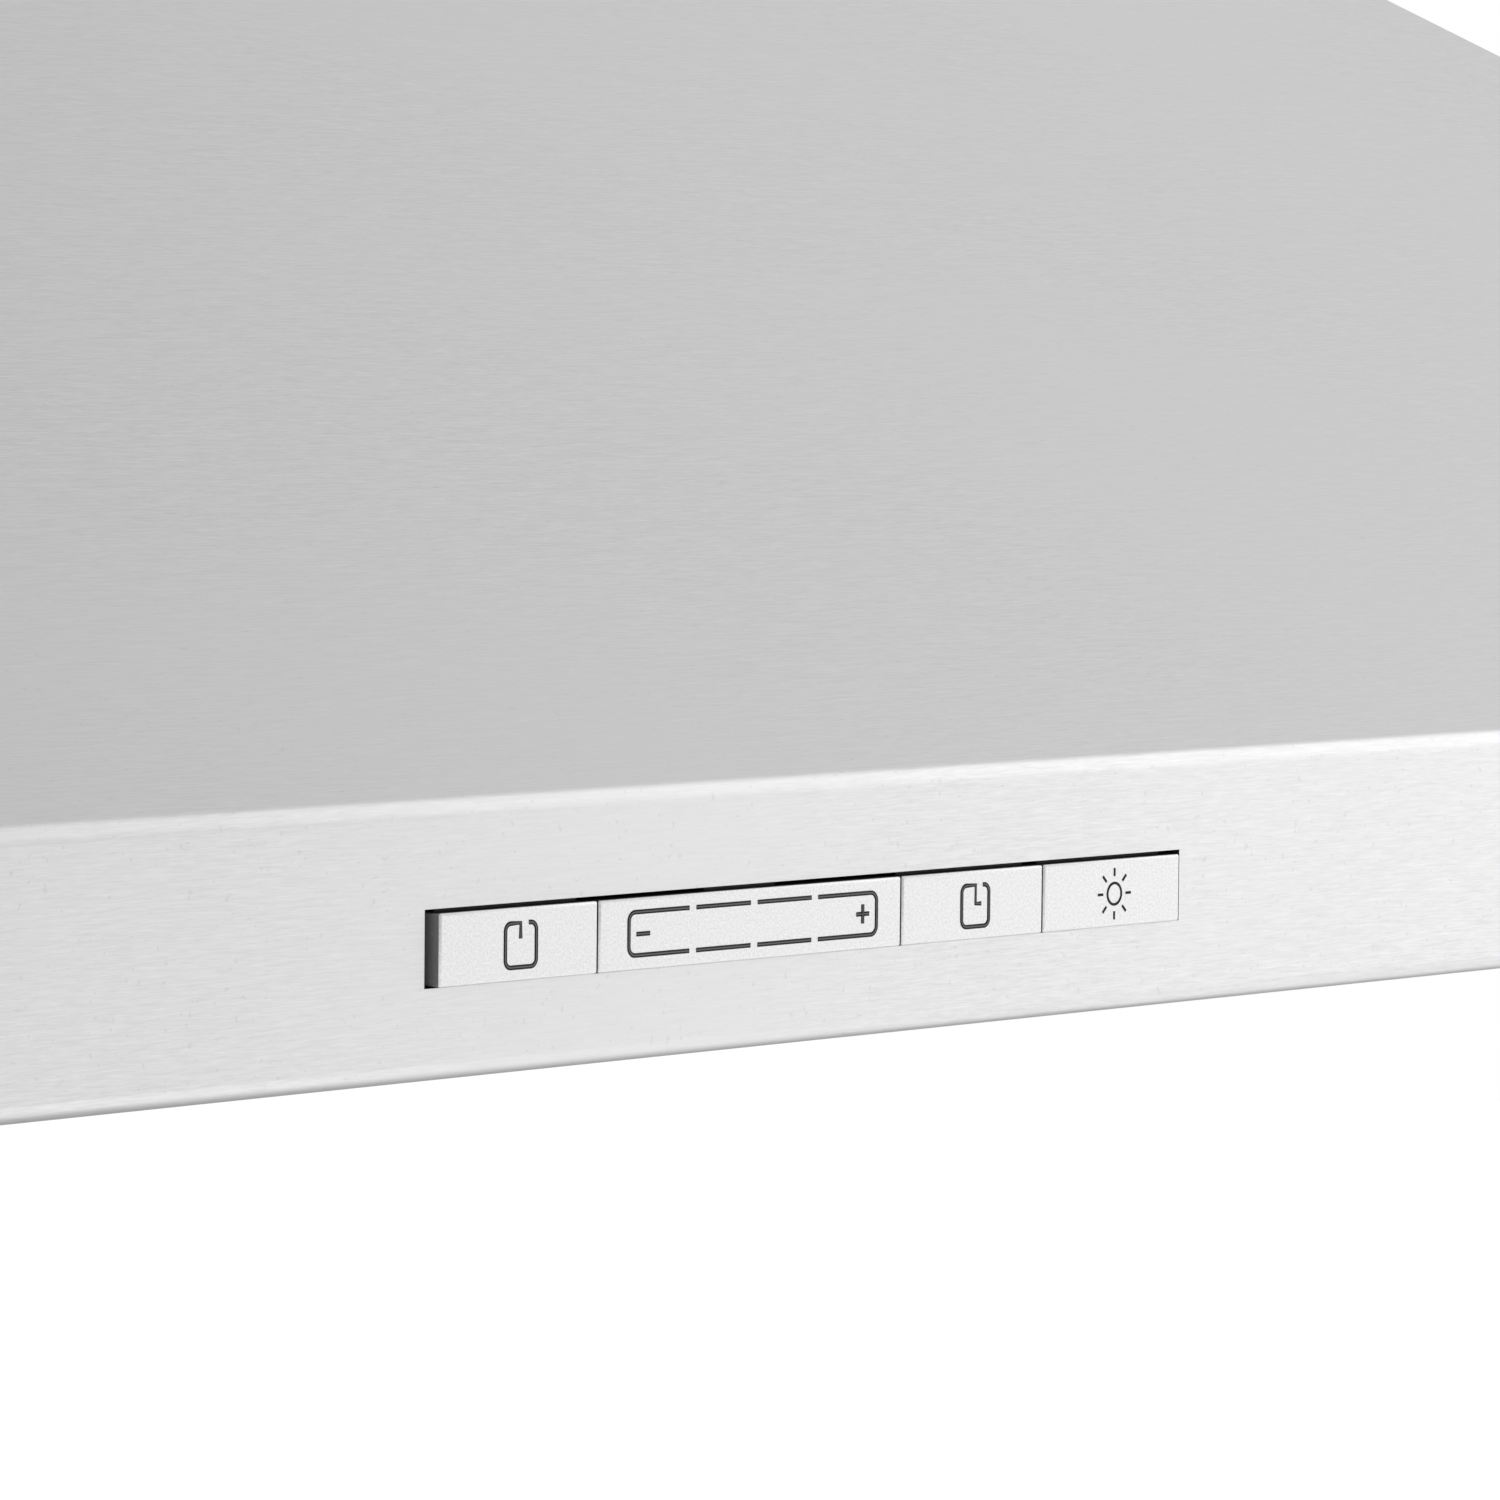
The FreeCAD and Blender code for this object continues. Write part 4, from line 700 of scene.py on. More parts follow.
@dataclass
class KeySymbols:
    """Ink symbols, drawn from the middle of the strip in millimetres and printed on the keys."""

    stroke: float = 0.53
    thin_stroke: float = 0.53 * 0.62
    core: float = 0.15
    ink: float = 0.06
    core_ink: float = 0.078
    square_half: float = 2.45
    square_radius: float = 0.85
    square_gap: float = 1.28
    power_x: float = -51.25
    timer_x: float = 25.82
    light_x: float = 51.68
    drop: float = -0.13
    rate_left: float = -33.87
    rate_right: float = 8.13
    rate_half: float = 2.44
    gap_left: tuple[float, ...] = (-23.9, -13.61, -3.21)
    gap_right: tuple[float, ...] = (-22.75, -12.44, -2.06)

    def square(self, x: float, start: float, hanging: Path) -> list[Path]:
        """Return the rounded square that a hanging line runs into.

        Args:
            x: Middle of the square.
            start: Where the line meets the top edge.
            hanging: Points of the line below the edge.

        Returns:
            One path, which leaves a gap in the top edge.
        """
        half = self.square_half
        frame = RoundFrame(x - half, x + half, self.drop - half, self.drop + half, self.square_radius)
        way = frame.around([Corner.TOP_LEFT, Corner.BOTTOM_LEFT, Corner.BOTTOM_RIGHT, Corner.TOP_RIGHT])
        return [hanging + [(start, frame.top)] + way + [(start + self.square_gap, frame.top)]]

    def power(self) -> list[Path]:
        """Return the square with a tick that hangs from its top edge."""
        tick = self.power_x - 0.05
        return self.square(self.power_x, tick, [(tick, 0.575)])

    def timer(self) -> list[Path]:
        """Return the square with a clock's hands that hang from its top edge."""
        hand = self.timer_x + 0.05
        return self.square(self.timer_x, hand, [(hand + 1.02, 0.1), (hand, 0.1)])

    def rate(self) -> list[Path]:
        """Return the long scale in four steps, with a minus and a plus at its ends."""
        frame = RoundFrame(self.rate_left, self.rate_right, -self.rate_half, self.rate_half, 1.0)
        first, last = self.gap_left[0], self.gap_right[-1]
        top, bottom = frame.top, frame.bottom
        left = [(first, top)] + frame.around([Corner.TOP_LEFT, Corner.BOTTOM_LEFT]) + [(first, bottom)]
        right = [(last, bottom)] + frame.around([Corner.BOTTOM_RIGHT, Corner.TOP_RIGHT]) + [(last, top)]
        bars = [[(a, y), (b, y)] for a, b in zip(self.gap_right, self.gap_left[1:]) for y in (top, bottom)]
        minus, plus, arm = -31.53, 5.72, 1.12
        signs = [[(minus - arm, -0.05), (minus + arm, -0.05)], [(plus - arm, 0.04), (plus + arm, 0.04)],
                 [(plus, 0.04 - arm), (plus, 0.04 + arm)]]
        return [left, right] + bars + signs

    def light(self, ring: float = 1.3, near: float = 2.12, far: float = 3.12) -> list[Path]:
        """Return a ring with eight rays."""
        def at(radius: float, turn: float) -> tuple[float, float]:
            return (self.light_x + radius * math.cos(turn), self.drop + radius * math.sin(turn))
        circle = [at(ring, 2 * math.pi * i / 40) for i in range(40)]
        rays = [[at(near, math.pi * i / 4), at(far, math.pi * i / 4)] for i in range(8)]
        return [circle + circle[:1]] + rays


@dataclass
class KeyStrip:
    """Key caps behind the lip's cutout, and the symbols printed on them."""

    palette: Palette
    lip_y: float
    middle_z: float
    edge: float = 0.25 * MM
    flat_area: float = 8.0 * MM * MM
    cap_top: float = 4.02 * MM
    last_end: float = 0.2 * MM
    cap_bottom: float = -4.08 * MM
    cap_depth: float = 7.0 * MM
    rocker: str = "speed_rocker"
    rocker_flange: float = 6.0 * MM
    flange_inset: float = 1.2 * MM
    flange_edge: float = 0.15 * MM
    flange_y: Span = (1.2 * MM, 2.2 * MM)
    keys: tuple[str, ...] = ("power_key", "speed_rocker", "timer_key", "light_key")

    def stroke_tree(self) -> NodeTree:
        """Return the tree that lays a flat stroke along paths."""
        tree, given, out = shape_group("ink_stroke", {"Width": 0.42, "Thickness": 0.03})
        path = tree.add("GeometryNodeMeshToCurve", {0: given["Geometry"]})
        upright = tree.add("GeometryNodeSetCurveNormal", {"Curve": path.outputs[0]})
        upright.mode = "Z_UP"
        profile = tree.add("GeometryNodeCurvePrimitiveQuadrilateral",
                           {"Width": given["Width"], "Height": given["Thickness"]})
        stroke = tree.add("GeometryNodeCurveToMesh", {0: upright.outputs[0], 1: profile.outputs[0],
                                                      "Fill Caps": True})
        return tree.finish(stroke.outputs[0], given, out)

    def make_caps(self) -> None:
        """Build each key cap with rounded edges and its retaining flange."""
        for name in self.keys:
            low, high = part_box(name)
            cap_low = Vector((low.x, low.y, self.middle_z + self.cap_bottom))
            end = self.last_end if name == self.keys[-1] else 0.0
            cap_high = Vector((high.x + end, low.y + self.cap_depth, self.middle_z + self.cap_top))
            shape = soft_box(cap_low, cap_high, self.edge)
            middle, reach = (low.x + high.x) / 2, (high.x - low.x) / 2 - self.flange_inset
            if name == self.rocker:
                reach = self.rocker_flange
            flange_low = Vector((middle - reach, self.lip_y + self.flange_y[0], low.z))
            flange_high = Vector((middle + reach, self.lip_y + self.flange_y[1], high.z))
            flange = soft_box(flange_low, flange_high, self.flange_edge, 2)
            for face in flange.faces:
                face.material_index = 2
            join_shape(shape, flange)
            mesh = take_mesh(shape, name + "_cap", self.palette.by_slot["key_silver"], self.flat_area)
            mesh.materials.append(self.palette.key_wall)
            mesh.materials.append(self.palette.by_slot["black_plastic"])
            for face in mesh.polygons:
                if face.material_index == 0 and face.center.y > low.y + self.edge * 1.05:
                    at_end = name == self.keys[0] and face.normal.x < -0.5
                    face.material_index = 1 if at_end else 2
            finish_piece(make_object(name + "_cap", mesh), name, (name,))

    def make_symbols(self) -> None:
        """Print each key's symbol."""
        tree = self.stroke_tree()
        symbols = KeySymbols()
        drawings = {"power_key": symbols.power(), "speed_rocker": symbols.rate(),
                    "timer_key": symbols.timer(), "light_key": symbols.light()}
        for name, paths in drawings.items():
            front = Vector((0.0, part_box(name)[0].y, self.middle_z))
            upright = Matrix.Rotation(math.radians(90), 4, "X")
            place = Matrix.Translation(front) @ upright @ Matrix.Scale(MM, 4)
            thin = name == "light_key"
            width = symbols.thin_stroke if thin else symbols.stroke
            layers = [("symbol", width, symbols.ink, self.palette.ink)]
            if not thin:
                layers.append(("symbol_core", symbols.core, symbols.core_ink, self.palette.ink_core))
            for label, width, thickness, material in layers:
                values = {"Width": width, "Thickness": thickness, "Material": material}
                drawn = grow(paths_mesh(name + "_path", paths), tree, values, name + "_" + label, place)
                finish_piece(drawn, name)

    def build(self) -> None:
        """Build the caps and their symbols."""
        self.make_caps()
        self.make_symbols()


# ---------------------------------------------------------------- fasteners


@dataclass(frozen=True)
class Fastener:
    """Size and place of one rivet or screw, read from its solid."""

    seat: Vector
    facing: Vector
    head_radius: float
    head_height: float
    shank_radius: float
    length: float

    @classmethod
    def from_points(cls, points: list[Vector]) -> Fastener:
        """Measure one fastener.

        Args:
            points: The corners of its solid's mesh.

        Returns:
            The fastener, with its seat at the underside of its head.
        """
        low = Vector(min(p[i] for p in points) for i in range(3))
        high = Vector(max(p[i] for p in points) for i in range(3))
        size, middle = high - low, (low + high) / 2
        axis = min(range(3), key=lambda i: abs(size[(i + 1) % 3] - size[(i + 2) % 3]))
        others = [i for i in range(3) if i != axis]
        wide = [math.hypot(*(p[i] - middle[i] for i in others)) for p in points]
        rim = [p[axis] for p, r in zip(points, wide) if r > 0.9 * max(wide)]
        sign = 1.0 if sum(rim) / len(rim) > middle[axis] else -1.0
        facing = Vector(sign if i == axis else 0.0 for i in range(3))
        along = [p.dot(facing) for p in points]
        seat_level = min(p.dot(facing) for p, r in zip(points, wide) if r > 0.9 * max(wide))
        tip = min(along)
        near_tip = [r for a, r in zip(along, wide) if a < tip + 0.3 * (seat_level - tip)]
        seat = Vector(seat_level * sign if i == axis else middle[i] for i in range(3))
        return cls(seat, facing, max(wide), max(along) - seat_level, max(near_tip), seat_level - tip)


def loose_parts(mesh: Mesh) -> list[list[Vector]]:
    """Return the corners of each separate solid of a mesh."""
    shape = bmesh.new()
    shape.from_mesh(mesh)
    bmesh.ops.remove_doubles(shape, verts=list(shape.verts), dist=0.001 * MM)
    shape.verts.index_update()
    seen, parts = set(), []
    for start in shape.verts:
        if start.index in seen:
            continue
        seen.add(start.index)
        reached = [start]
        for vertex in reached:
            for edge in vertex.link_edges:
                other = edge.other_vert(vertex)
                if other.index not in seen:
                    seen.add(other.index)
                    reached.append(other)
        parts.append([vertex.co.copy() for vertex in reached])
    shape.free()
    return parts


def lathe(name: str, profile: Path, steps: int = 20) -> Object:
    """Return an object turned from (radius, height) points about Z."""
    shape = bmesh.new()
    verts = [shape.verts.new((radius, 0.0, height)) for radius, height in profile]
    edges = [shape.edges.new(pair) for pair in zip(verts, verts[1:])]
    bmesh.ops.spin(shape, geom=verts + edges, cent=(0, 0, 0), axis=(0, 0, 1), angle=2 * math.pi, steps=steps)
    bmesh.ops.remove_doubles(shape, verts=list(shape.verts), dist=1e-5)
    bmesh.ops.recalc_face_normals(shape, faces=list(shape.faces))
    mesh = bpy.data.meshes.new(name)
    shape.to_mesh(mesh)
    shape.free()
    return make_object(name, mesh)


class HeadStyle(Enum):
    """Turned profile of a head of unit size, and whether it has a cross recess."""

    BLIND_RIVET = (((0.0, 0.35), (0.24, 0.35), (0.27, 0.9), (0.36, 0.98), (0.62, 0.86), (0.82, 0.66),
                    (0.95, 0.36), (1.0, 0.0), (0.0, 0.0)), False)
    PAN_SCREW = (((0.0, 1.0), (0.5, 0.97), (0.74, 0.88), (0.9, 0.68), (0.98, 0.4), (1.0, 0.0),
                  (0.0, 0.0)), True)


@dataclass
class Fasteners:
    """Rivets and screws, copied onto the places of their solids."""

    palette: Palette
    threads: int = 7
    recess: float = 0.24
    recess_length: float = 1.15
    recess_height: float = 1.3
    recess_level: float = 1.05

    def tree(self) -> NodeTree:
        """Return the tree that puts a head and a shank on every point."""
        tree, given, out = shape_group("fasteners", {"Head": "NodeSocketObject", "Shank": "NodeSocketObject",
                                                     "Cross recess": False, "Recess width": self.recess})
        head, shank = (tree.add("GeometryNodeObjectInfo", {"Object": given[label]}).outputs["Geometry"]
                       for label in ("Head", "Shank"))
        width = given["Recess width"]
        bars = [tree.add("GeometryNodeMeshCube", {"Size": size}).outputs[0]
                for size in (tree.vector(self.recess_length, width, self.recess_height),
                             tree.vector(width, self.recess_length, self.recess_height))]
        above = (0, 0, self.recess_level)
        raised = [tree.add("GeometryNodeTransform", {"Geometry": bar, "Translation": above}) for bar in bars]
        cut = tree.add("GeometryNodeMeshBoolean", {0: head, 1: raised[0].outputs[0]}, operation="DIFFERENCE")
        tree.link(raised[1].outputs[0], cut.inputs[1])
        chosen = tree.add("GeometryNodeSwitch", {0: given["Cross recess"], 1: head, 2: cut.outputs[0]},
                          input_type="GEOMETRY").outputs[0]
        facing = self.read(tree, "facing")
        turn = tree.add("FunctionNodeAlignRotationToVector", {"Vector": facing}, axis="Z").outputs[0]
        sets = [tree.copies(given["Geometry"], shape, Rotation=turn, Scale=self.read(tree, label))
                for shape, label in ((chosen, "head_size"), (shank, "shank_size"))]
        return tree.finish(tree.join(*sets), given, out)

    @staticmethod
    def read(tree: Tree, label: str) -> NodeSocket:
        """Return a named vector of the points."""
        node = tree.add("GeometryNodeInputNamedAttribute", data_type="FLOAT_VECTOR")
        node.inputs["Name"].default_value = label
        return node.outputs["Attribute"]

    @staticmethod
    def points(name: str, fasteners: list[Fastener]) -> Mesh:
        """Return a mesh with one point for each fastener, and its sizes."""
        mesh = bpy.data.meshes.new(name + "_points")
        mesh.from_pydata([f.seat for f in fasteners], [], [])
        fields = {"facing": [tuple(f.facing) for f in fasteners],
                  "head_size": [(f.head_radius, f.head_radius, f.head_height) for f in fasteners],
                  "shank_size": [(f.shank_radius, f.shank_radius, f.length) for f in fasteners]}
        for label, rows in fields.items():
            layer = mesh.attributes.new(label, "FLOAT_VECTOR", "POINT")
            layer.data.foreach_set("vector", [value for row in rows for value in row])
        return mesh

    def shank_profile(self, threaded: bool) -> Path:
        """Return a shank's profile, with ridges if it's a screw's."""
        if not threaded:
            return [(0.0, 0.0), (1.0, 0.0), (1.0, -0.92), (0.85, -1.0), (0.0, -1.0)]
        rows = [(0.0, 0.0)]
        for i in range(self.threads):
            rows += [(0.8, -(i + 0.1) / self.threads), (1.0, -(i + 0.5) / self.threads)]
        return rows + [(0.75, -1.0), (0.0, -1.0)]

    def build(self, frame: dict) -> None:
        """Build the rivets and the screws."""
        tree = self.tree()
        for node, style, slot in (("casing_rivets", HeadStyle.BLIND_RIVET, "rivet_steel"),
                                  ("sheet_screws", HeadStyle.PAN_SCREW, "screw_zinc"),
                                  ("control_screws", HeadStyle.PAN_SCREW, "screw_zinc")):
            profile, recessed = style.value
            head = lathe("head", list(profile))
            shank = lathe("shank", self.shank_profile(recessed), 14)
            found = [Fastener.from_points(part) for part in loose_parts(frame["nodes"][node].data)]
            values = {"Head": head, "Shank": shank, "Cross recess": recessed, "Recess width": self.recess,
                      "Material": self.palette.by_slot[slot]}
            piece = grow(self.points(node, found), tree, values, node + "_detail", Matrix.Identity(4))
            smooth_by_angle(piece.data)
            finish_piece(piece, "casing", (node,))
            for spare in (head, shank):
                bpy.data.meshes.remove(spare.data)


# ---------------------------------------------------------------- grease filters


@dataclass
class FilterBaffles:
    """Two facing rows of rounded channels in each grease filter."""

    palette: Palette
    width: float = 20.0 * MM
    rise: float = 3.8 * MM
    sheet: float = 0.8 * MM
    bend: float = 1.5 * MM
    lower_count: int = 12

    def outline(self, upside_down: bool, steps: int = 5) -> Mesh:
        """Return a channel's cross-section as one face in the XZ plane."""
        half, inner = self.width / 2, self.width / 2 - self.sheet

        def side(x: float, floor: float, radius: float) -> Path:
            turns = [math.pi / 2 * i / steps for i in range(steps + 1)]
            return [(x - radius + radius * math.sin(t), floor + radius - radius * math.cos(t)) for t in turns]
        outer = side(half, 0.0, self.bend) + [(half, self.rise)]
        inside = side(inner, self.sheet, self.bend - self.sheet) + [(inner, self.rise)]
        right = outer + inside[::-1]
        loop = right + [(-x, z) for x, z in reversed(right)]
        flip = -1.0 if upside_down else 1.0
        mesh = bpy.data.meshes.new("outline")
        mesh.from_pydata([(x, 0.0, z * flip) for x, z in loop], [], [list(range(len(loop)))])
        return mesh

    @staticmethod
    def tree() -> NodeTree:
        """Return the tree that draws a cross-section out along Y and repeats it along X."""
        tree, given, out = shape_group("baffle_row", {"Length": 0.3, "Count": 12, "Pitch": 0.03})
        drawn = tree.add("GeometryNodeExtrudeMesh", {"Mesh": given["Geometry"], "Offset Scale": 1.0,
                                                     "Offset": tree.vector(y=given["Length"])},
                         mode="FACES")
        back = tree.add("GeometryNodeFlipFaces", {"Mesh": given["Geometry"]})
        joined = tree.join(drawn.outputs[0], back.outputs[0])
        closed = tree.add("GeometryNodeMergeByDistance", {"Geometry": joined, "Distance": 0.01 * MM})
        step = tree.vector(given["Pitch"])
        row = tree.add("GeometryNodeMeshLine", {"Count": given["Count"], "Offset": step})
        return tree.finish(tree.copies(row.outputs[0], closed.outputs[0]), given, out)

    def build(self) -> None:
        """Build both filters' baffles."""
        tree = self.tree()
        steel = self.palette.by_slot["filter_steel"]
        for side in ("left", "right"):
            node = side + "_filter_baffles"
            low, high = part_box(node)
            pitch = (high.x - low.x - self.width) / (self.lower_count - 1)
            rows = ((False, self.lower_count, low.x + self.width / 2, low.z),
                    (True, self.lower_count - 1, low.x + self.width / 2 + pitch / 2, high.z))
            shape = bmesh.new()
            for upside_down, count, x, z in rows:
                values = {"Length": high.y - low.y, "Count": count, "Pitch": pitch, "Material": steel}
                place = Matrix.Translation(Vector((x, low.y, z)))
                row = grow(self.outline(upside_down), tree, values, "row", place)
                shape.from_mesh(row.data)
                bpy.data.meshes.remove(row.data)
            mesh = take_mesh(shape, node + "_detail", steel)
            finish_piece(make_object(node + "_detail", mesh), side + "_filter", (node,))


# ---------------------------------------------------------------- motor and boards


@dataclass
class MotorRibs:
    """Cooling ribs round the motor can."""

    palette: Palette
    count: int = 28
    depth: float = 1.4 * MM
    width: float = 1.6 * MM
    margin: float = 6.0 * MM

    def tree(self) -> NodeTree:
        """Return the tree that stands ribs in a ring."""
        tree, given, out = shape_group("ring_of_ribs", {"Count": self.count, "Radius": 0.04,
                                                        "Rib size": "NodeSocketVector"})
        ring = tree.add("GeometryNodeMeshCircle", {"Vertices": given["Count"], "Radius": given["Radius"]})
        rib = tree.add("GeometryNodeMeshCube", {"Size": given["Rib size"]})
        outward = tree.add("GeometryNodeInputPosition").outputs[0]
        turn = tree.add("FunctionNodeAlignRotationToVector", {"Vector": outward}, axis="X")
        ribs = tree.copies(ring.outputs[0], rib.outputs[0], Rotation=turn.outputs[0])
        return tree.finish(tree.join(ribs, given["Geometry"]), given, out)

    def build(self) -> None:
        """Build the ribs on the can."""
        low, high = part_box("motor_housing")
        size = (self.depth + 0.6 * MM, self.width, high.z - low.z - 2 * self.margin)
        radius = (high.x - low.x) / 2 + self.depth / 2 - 0.3 * MM
        values = {"Count": self.count, "Radius": radius, "Rib size": size,
                  "Material": self.palette.by_slot["motor_paint"]}
        place = Matrix.Translation((low + high) / 2)
        piece = grow(bpy.data.meshes.new("nothing"), self.tree(), values, "motor_ribs", place)
        finish_piece(piece, "casing")


class BoardSide(Enum):
    """Face of a board that carries its parts, as the turn about X that takes +Z to that face."""

    TOWARDS_BACK = -90.0
    UNDER = 180.0


@dataclass
class BoardParts:
    """Small components scattered over a circuit board."""

    palette: Palette
    node: str
    side: BoardSide
    tallest: float
    spacing: float = 5.0 * MM
    margin: float = 3.0 * MM
    density: float = 60000.0
    widths: Span = (0.35, 0.8)
    board: float = 1.6 * MM
    seed: int = 7

    def tree(self) -> NodeTree:
        """Return the tree that scatters blocks and cans of random size over a face."""
        tree, given, out = shape_group("board_parts", {"Spacing": self.spacing, "Tallest": self.tallest,
                                                       "Seed": self.seed})
        spacing, tallest, seed = (given[label] for label in ("Spacing", "Tallest", "Seed"))
        spread = tree.add("GeometryNodeDistributePointsOnFaces",
                          {"Mesh": given["Geometry"], "Distance Min": spacing,
                           "Density Max": self.density, "Seed": seed}, distribute_method="POISSON")
        block = tree.add("GeometryNodeMeshCube", {"Size": (1, 1, 1)})
        can = tree.add("GeometryNodeMeshCylinder", {"Vertices": 14, "Radius": 0.45, "Depth": 1.0})
        kinds = []
        for kind in (block, can):
            shape = {"Geometry": kind.outputs[0], "Translation": (0, 0, 0.5)}
            stood = tree.add("GeometryNodeTransform", shape)
            kinds.append(tree.add("GeometryNodeGeometryToInstance", {0: stood.outputs[0]}).outputs[0])
        which = tree.add("FunctionNodeRandomValue", {4: 0, 5: 3, "Seed": seed}, data_type="INT")
        narrow, wide = (tree.times(spacing, share) for share in self.widths)
        low = tree.vector(narrow, narrow, tree.times(tallest, 0.2))
        high = tree.vector(wide, wide, tallest)
        size = tree.add("FunctionNodeRandomValue", {0: low, 1: high, "Seed": seed}, data_type="FLOAT_VECTOR")
        scattered = tree.copies(spread.outputs[0], tree.join(*kinds), Pick_Instance=True,
                                Instance_Index=which.outputs[2], Scale=size.outputs[0])
        return tree.finish(scattered, given, out)

    def build(self) -> None:
        """Build the components on the board's outer face."""
        low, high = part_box(self.node)
        turn = Matrix.Rotation(math.radians(self.side.value), 4, "X")
        size = high - low
        flat = (size.x, size.y) if self.side is BoardSide.UNDER else (size.x, size.z)
        mesh = rectangle("area", flat[0] / 2 - self.margin, flat[1] / 2 - self.margin)
        values = {"Spacing": self.spacing, "Tallest": self.tallest, "Seed": self.seed,
                  "Material": self.palette.by_slot["black_plastic"]}
        middle = (low + high) / 2
        level = Vector((middle.x, middle.y, high.z - self.board))
        if self.side is BoardSide.TOWARDS_BACK:
            level = Vector((middle.x, low.y + self.board, middle.z))
        place = Matrix.Translation(level) @ turn
        piece = grow(mesh, self.tree(), values, self.node + "_parts", place)
        finish_piece(piece, "casing")


# ---------------------------------------------------------------- studio


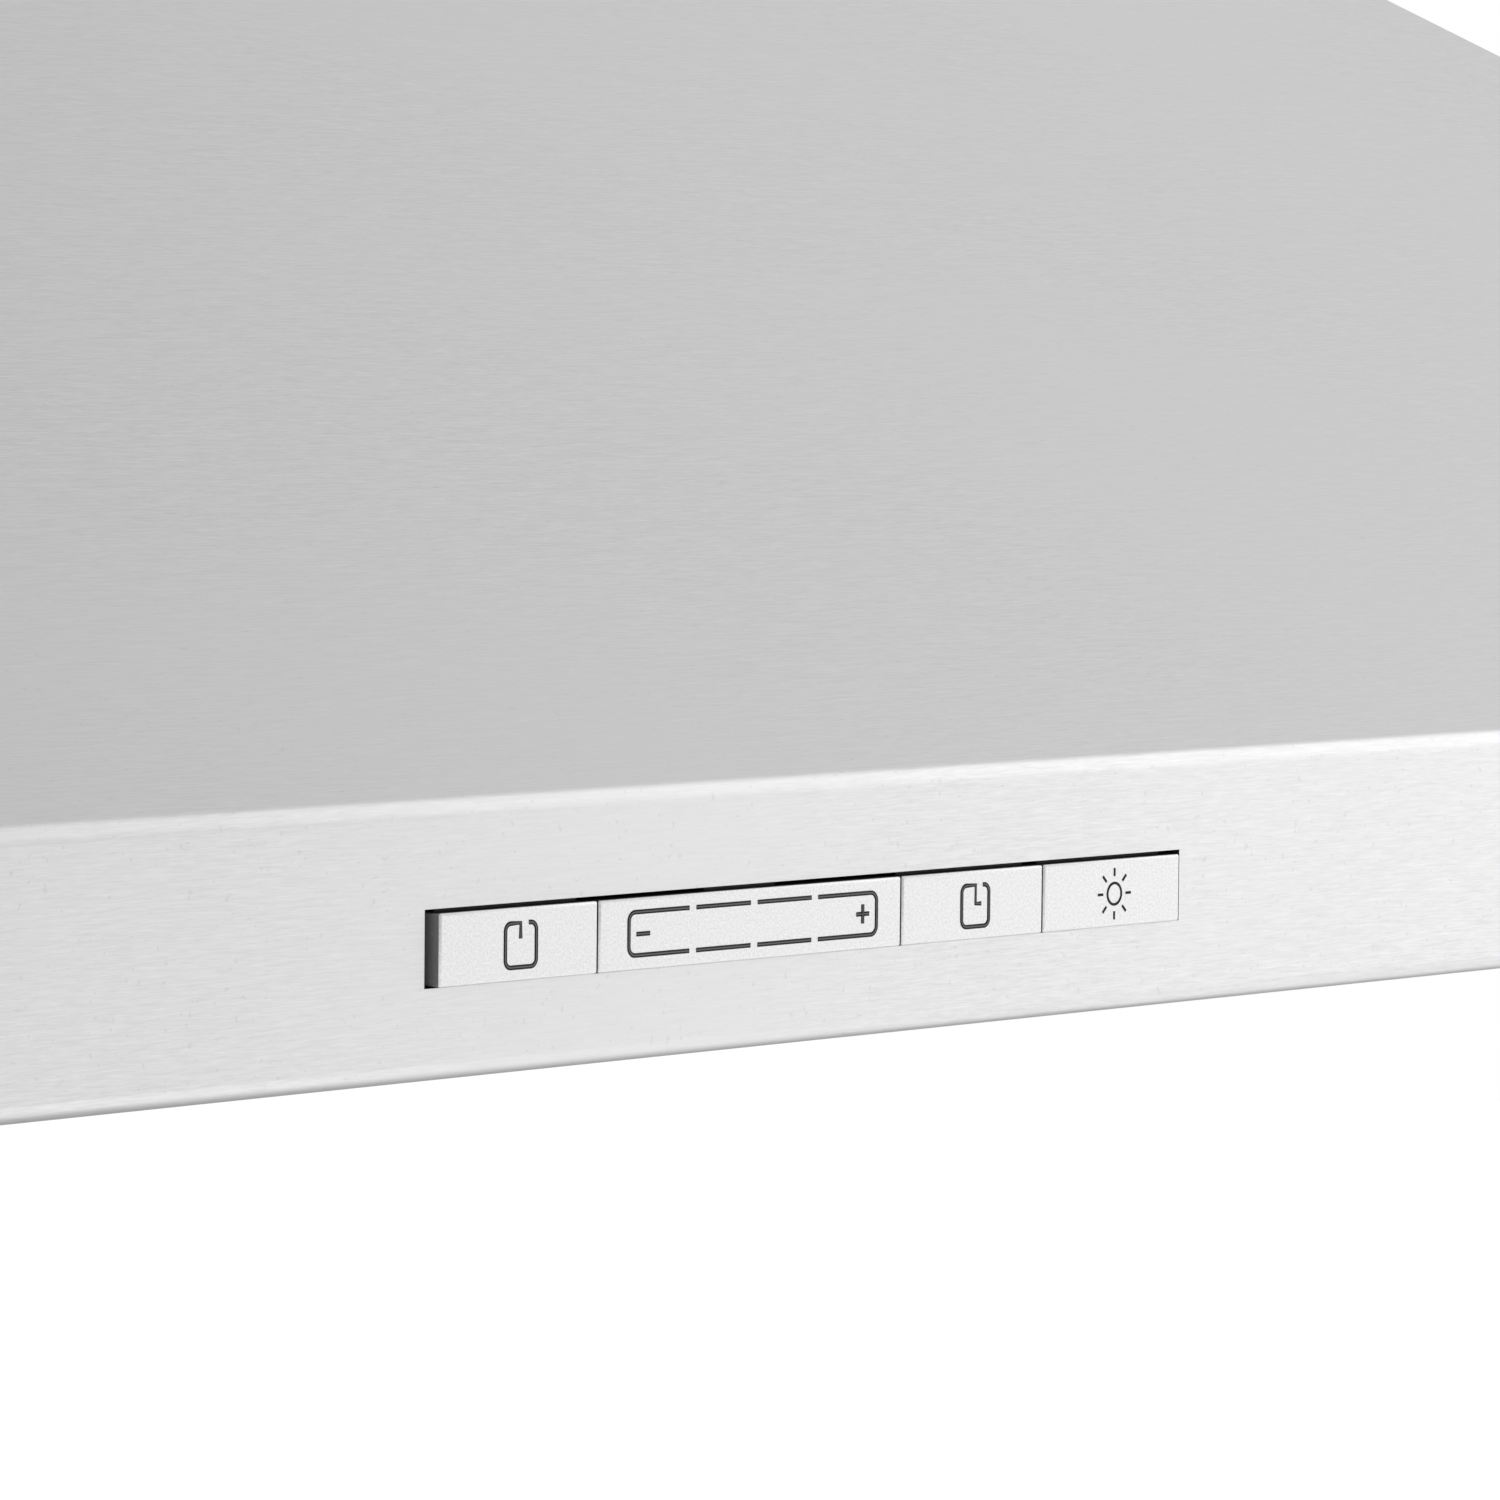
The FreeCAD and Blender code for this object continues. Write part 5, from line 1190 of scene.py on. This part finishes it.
@dataclass
class Studio:
    """Pale floor with a painted glow, even soft light, and the camera.

    A ramp is the range of a direction or a place, then the light at its two ends.
    """

    strip: Vector
    floor_drop: float = 1.25
    floor_half: float = 9.0
    lens: float = 173.31
    sensor: float = 36.0
    offset: tuple[float, float, float] = (-0.62137, -0.55250, 0.07158)
    yaw: float = 47.760
    pitch: float = 3.605
    roll: float = 0.548
    front: Ramp = (0.60, 0.88, 0.44, 1.65)
    side: Ramp = (0.88, 1.0, 1.0, 0.62)
    overhead: Ramp = (0.66, 0.82, 1.36, 1.06)
    height: Span = (0.02, 0.40)
    top: Ramp = (0.56, 0.74, 0.56, 0.74)
    top_end: Ramp = (0.74, 0.86, 1.0, 0.93)
    facing: Span = (0.05, 0.33)
    floor_near: Span = (0.7, 1.6)
    floor_front: Ramp = (0.4, -0.5, 0.0, 0.62)
    floor_far: Ramp = (3.6, 6.2, 0.0, 0.62)

    def make_camera(self) -> None:
        """Aim the camera along the strip from the front left."""
        yaw, pitch, roll = (math.radians(a) for a in (self.yaw, self.pitch, self.roll))
        ahead = Vector((math.sin(yaw) * math.cos(pitch), math.cos(yaw) * math.cos(pitch), -math.sin(pitch)))
        level = Vector((math.cos(yaw), -math.sin(yaw), 0.0))
        upward = level.cross(ahead)
        right = level * math.cos(roll) + upward * math.sin(roll)
        above = upward * math.cos(roll) - level * math.sin(roll)
        data = bpy.data.cameras.new("camera")
        data.lens = self.lens
        data.sensor_width = self.sensor
        data.clip_start, data.clip_end = 0.01, 100.0
        camera = bpy.data.objects.new("camera", data)
        turn = Matrix((right, above, -ahead)).transposed().to_4x4()
        camera.matrix_world = Matrix.Translation(self.strip + Vector(self.offset)) @ turn
        bpy.context.scene.collection.objects.link(camera)
        bpy.context.scene.camera = camera

    def make_world(self) -> None:
        """Light the hood from a bright horizon that falls off towards the top."""
        world = bpy.data.worlds.new("studio")
        bpy.context.scene.world = world
        world.use_nodes = True
        tree = Tree(world.node_tree)
        for node in list(world.node_tree.nodes):
            world.node_tree.nodes.remove(node)
        way = tree.add("ShaderNodeTexCoord").outputs["Generated"]
        x, y, z = tree.add("ShaderNodeSeparateXYZ", {0: way}).outputs
        low = tree.times(tree.remap(x, *self.front), tree.remap(x, *self.side))
        along = tree.times(low, tree.remap(z, *self.height, 1.0, tree.remap(x, *self.overhead)))
        behind = tree.times(tree.remap(x, *self.top), tree.remap(x, *self.top_end))
        level = tree.add("ShaderNodeMix", {0: tree.remap(y, *self.facing), 2: along, 3: behind},
                         data_type="FLOAT").outputs[0]
        soft = tree.add("ShaderNodeBackground", {"Color": level, "Strength": 1.0})
        white = tree.add("ShaderNodeBackground", {"Color": grey(1.0), "Strength": 1.0})
        path = tree.add("ShaderNodeLightPath")
        mixed = tree.add("ShaderNodeMixShader", {0: path.outputs["Is Camera Ray"], 1: soft.outputs[0],
                                                 2: white.outputs[0]})
        tree.add("ShaderNodeOutputWorld", {"Surface": mixed.outputs[0]})

    def make_floor(self) -> None:
        """Lay the pale floor far below the hood, with painted light: it glows in front of the hood and far
        from it, but not right under it.
        """
        mesh = rectangle("floor", self.floor_half, self.floor_half)
        mesh.transform(Matrix.Translation(Vector((0.0, 0.0, self.strip.z - self.floor_drop))))
        surface = open_surface("pale_floor", Roughness=0.8)
        surface.shader.inputs["Emission Color"].default_value = grey(1.0)
        tree = surface.tree
        surface.feed("Base Color", tree.blend(tree.noise(surface.place, 2.0), grey(0.62), grey(0.66)))
        flat = tree.add("ShaderNodeVectorMath", {0: surface.place, 1: (1.0, 1.0, 0.0)}, operation="MULTIPLY")
        reach = tree.add("ShaderNodeVectorMath", {0: flat.outputs[0]}, operation="LENGTH").outputs["Value"]
        apart = tree.add("ShaderNodeSeparateXYZ", {0: surface.place}).outputs["Y"]
        # Painted light: the floor's glow grows with distance from the hood and towards its front, so the
        # floor right under the hood stays a darker patch.
        near = tree.remap(reach, *self.floor_near)
        front = tree.times(tree.remap(apart, *self.floor_front), near)
        far = tree.remap(reach, *self.floor_far)
        surface.feed("Emission Strength", tree.math("MAXIMUM", front, far))
        side = tree.add("ShaderNodeNewGeometry").outputs["Backfacing"]
        clear = tree.add("ShaderNodeBsdfTransparent")
        mixed = tree.add("ShaderNodeMixShader", {0: side, 1: surface.shader.outputs[0], 2: clear.outputs[0]})
        tree.link(mixed.outputs[0], tree.tree.nodes["Material Output"].inputs["Surface"])
        mesh.materials.append(surface.material)
        make_object("floor", mesh)

    def build(self) -> None:
        """Set up the camera, world and floor."""
        self.make_camera()
        self.make_world()
        self.make_floor()
        bpy.context.scene.view_settings.view_transform = "Standard"


# ---------------------------------------------------------------- build


def corners(bounds: object) -> list[list[float]]:
    """Return a box as plain lists of numbers."""
    return [[float(value) for value in corner] for corner in bounds]


def main() -> None:
    """Build every sub-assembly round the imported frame."""
    logging.basicConfig(level=logging.INFO, format="%(message)s")
    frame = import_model()
    palette = Palette()
    palette.dress(frame)
    lip_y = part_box("canopy")[0].y
    key_low, key_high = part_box("speed_rocker")
    strip = Vector((0.0, lip_y, (key_low.z + key_high.z) / 2))
    KeyStrip(palette, lip_y, strip.z).build()
    Fasteners(palette).build(frame)
    FilterBaffles(palette).build()
    MotorRibs(palette).build()
    BoardParts(palette, "control_board", BoardSide.TOWARDS_BACK, 4.5 * MM).build()
    BoardParts(palette, "power_board", BoardSide.UNDER, 9.0 * MM, 9.0 * MM).build()
    Studio(strip).build()


if __name__ == "__main__":
    main()
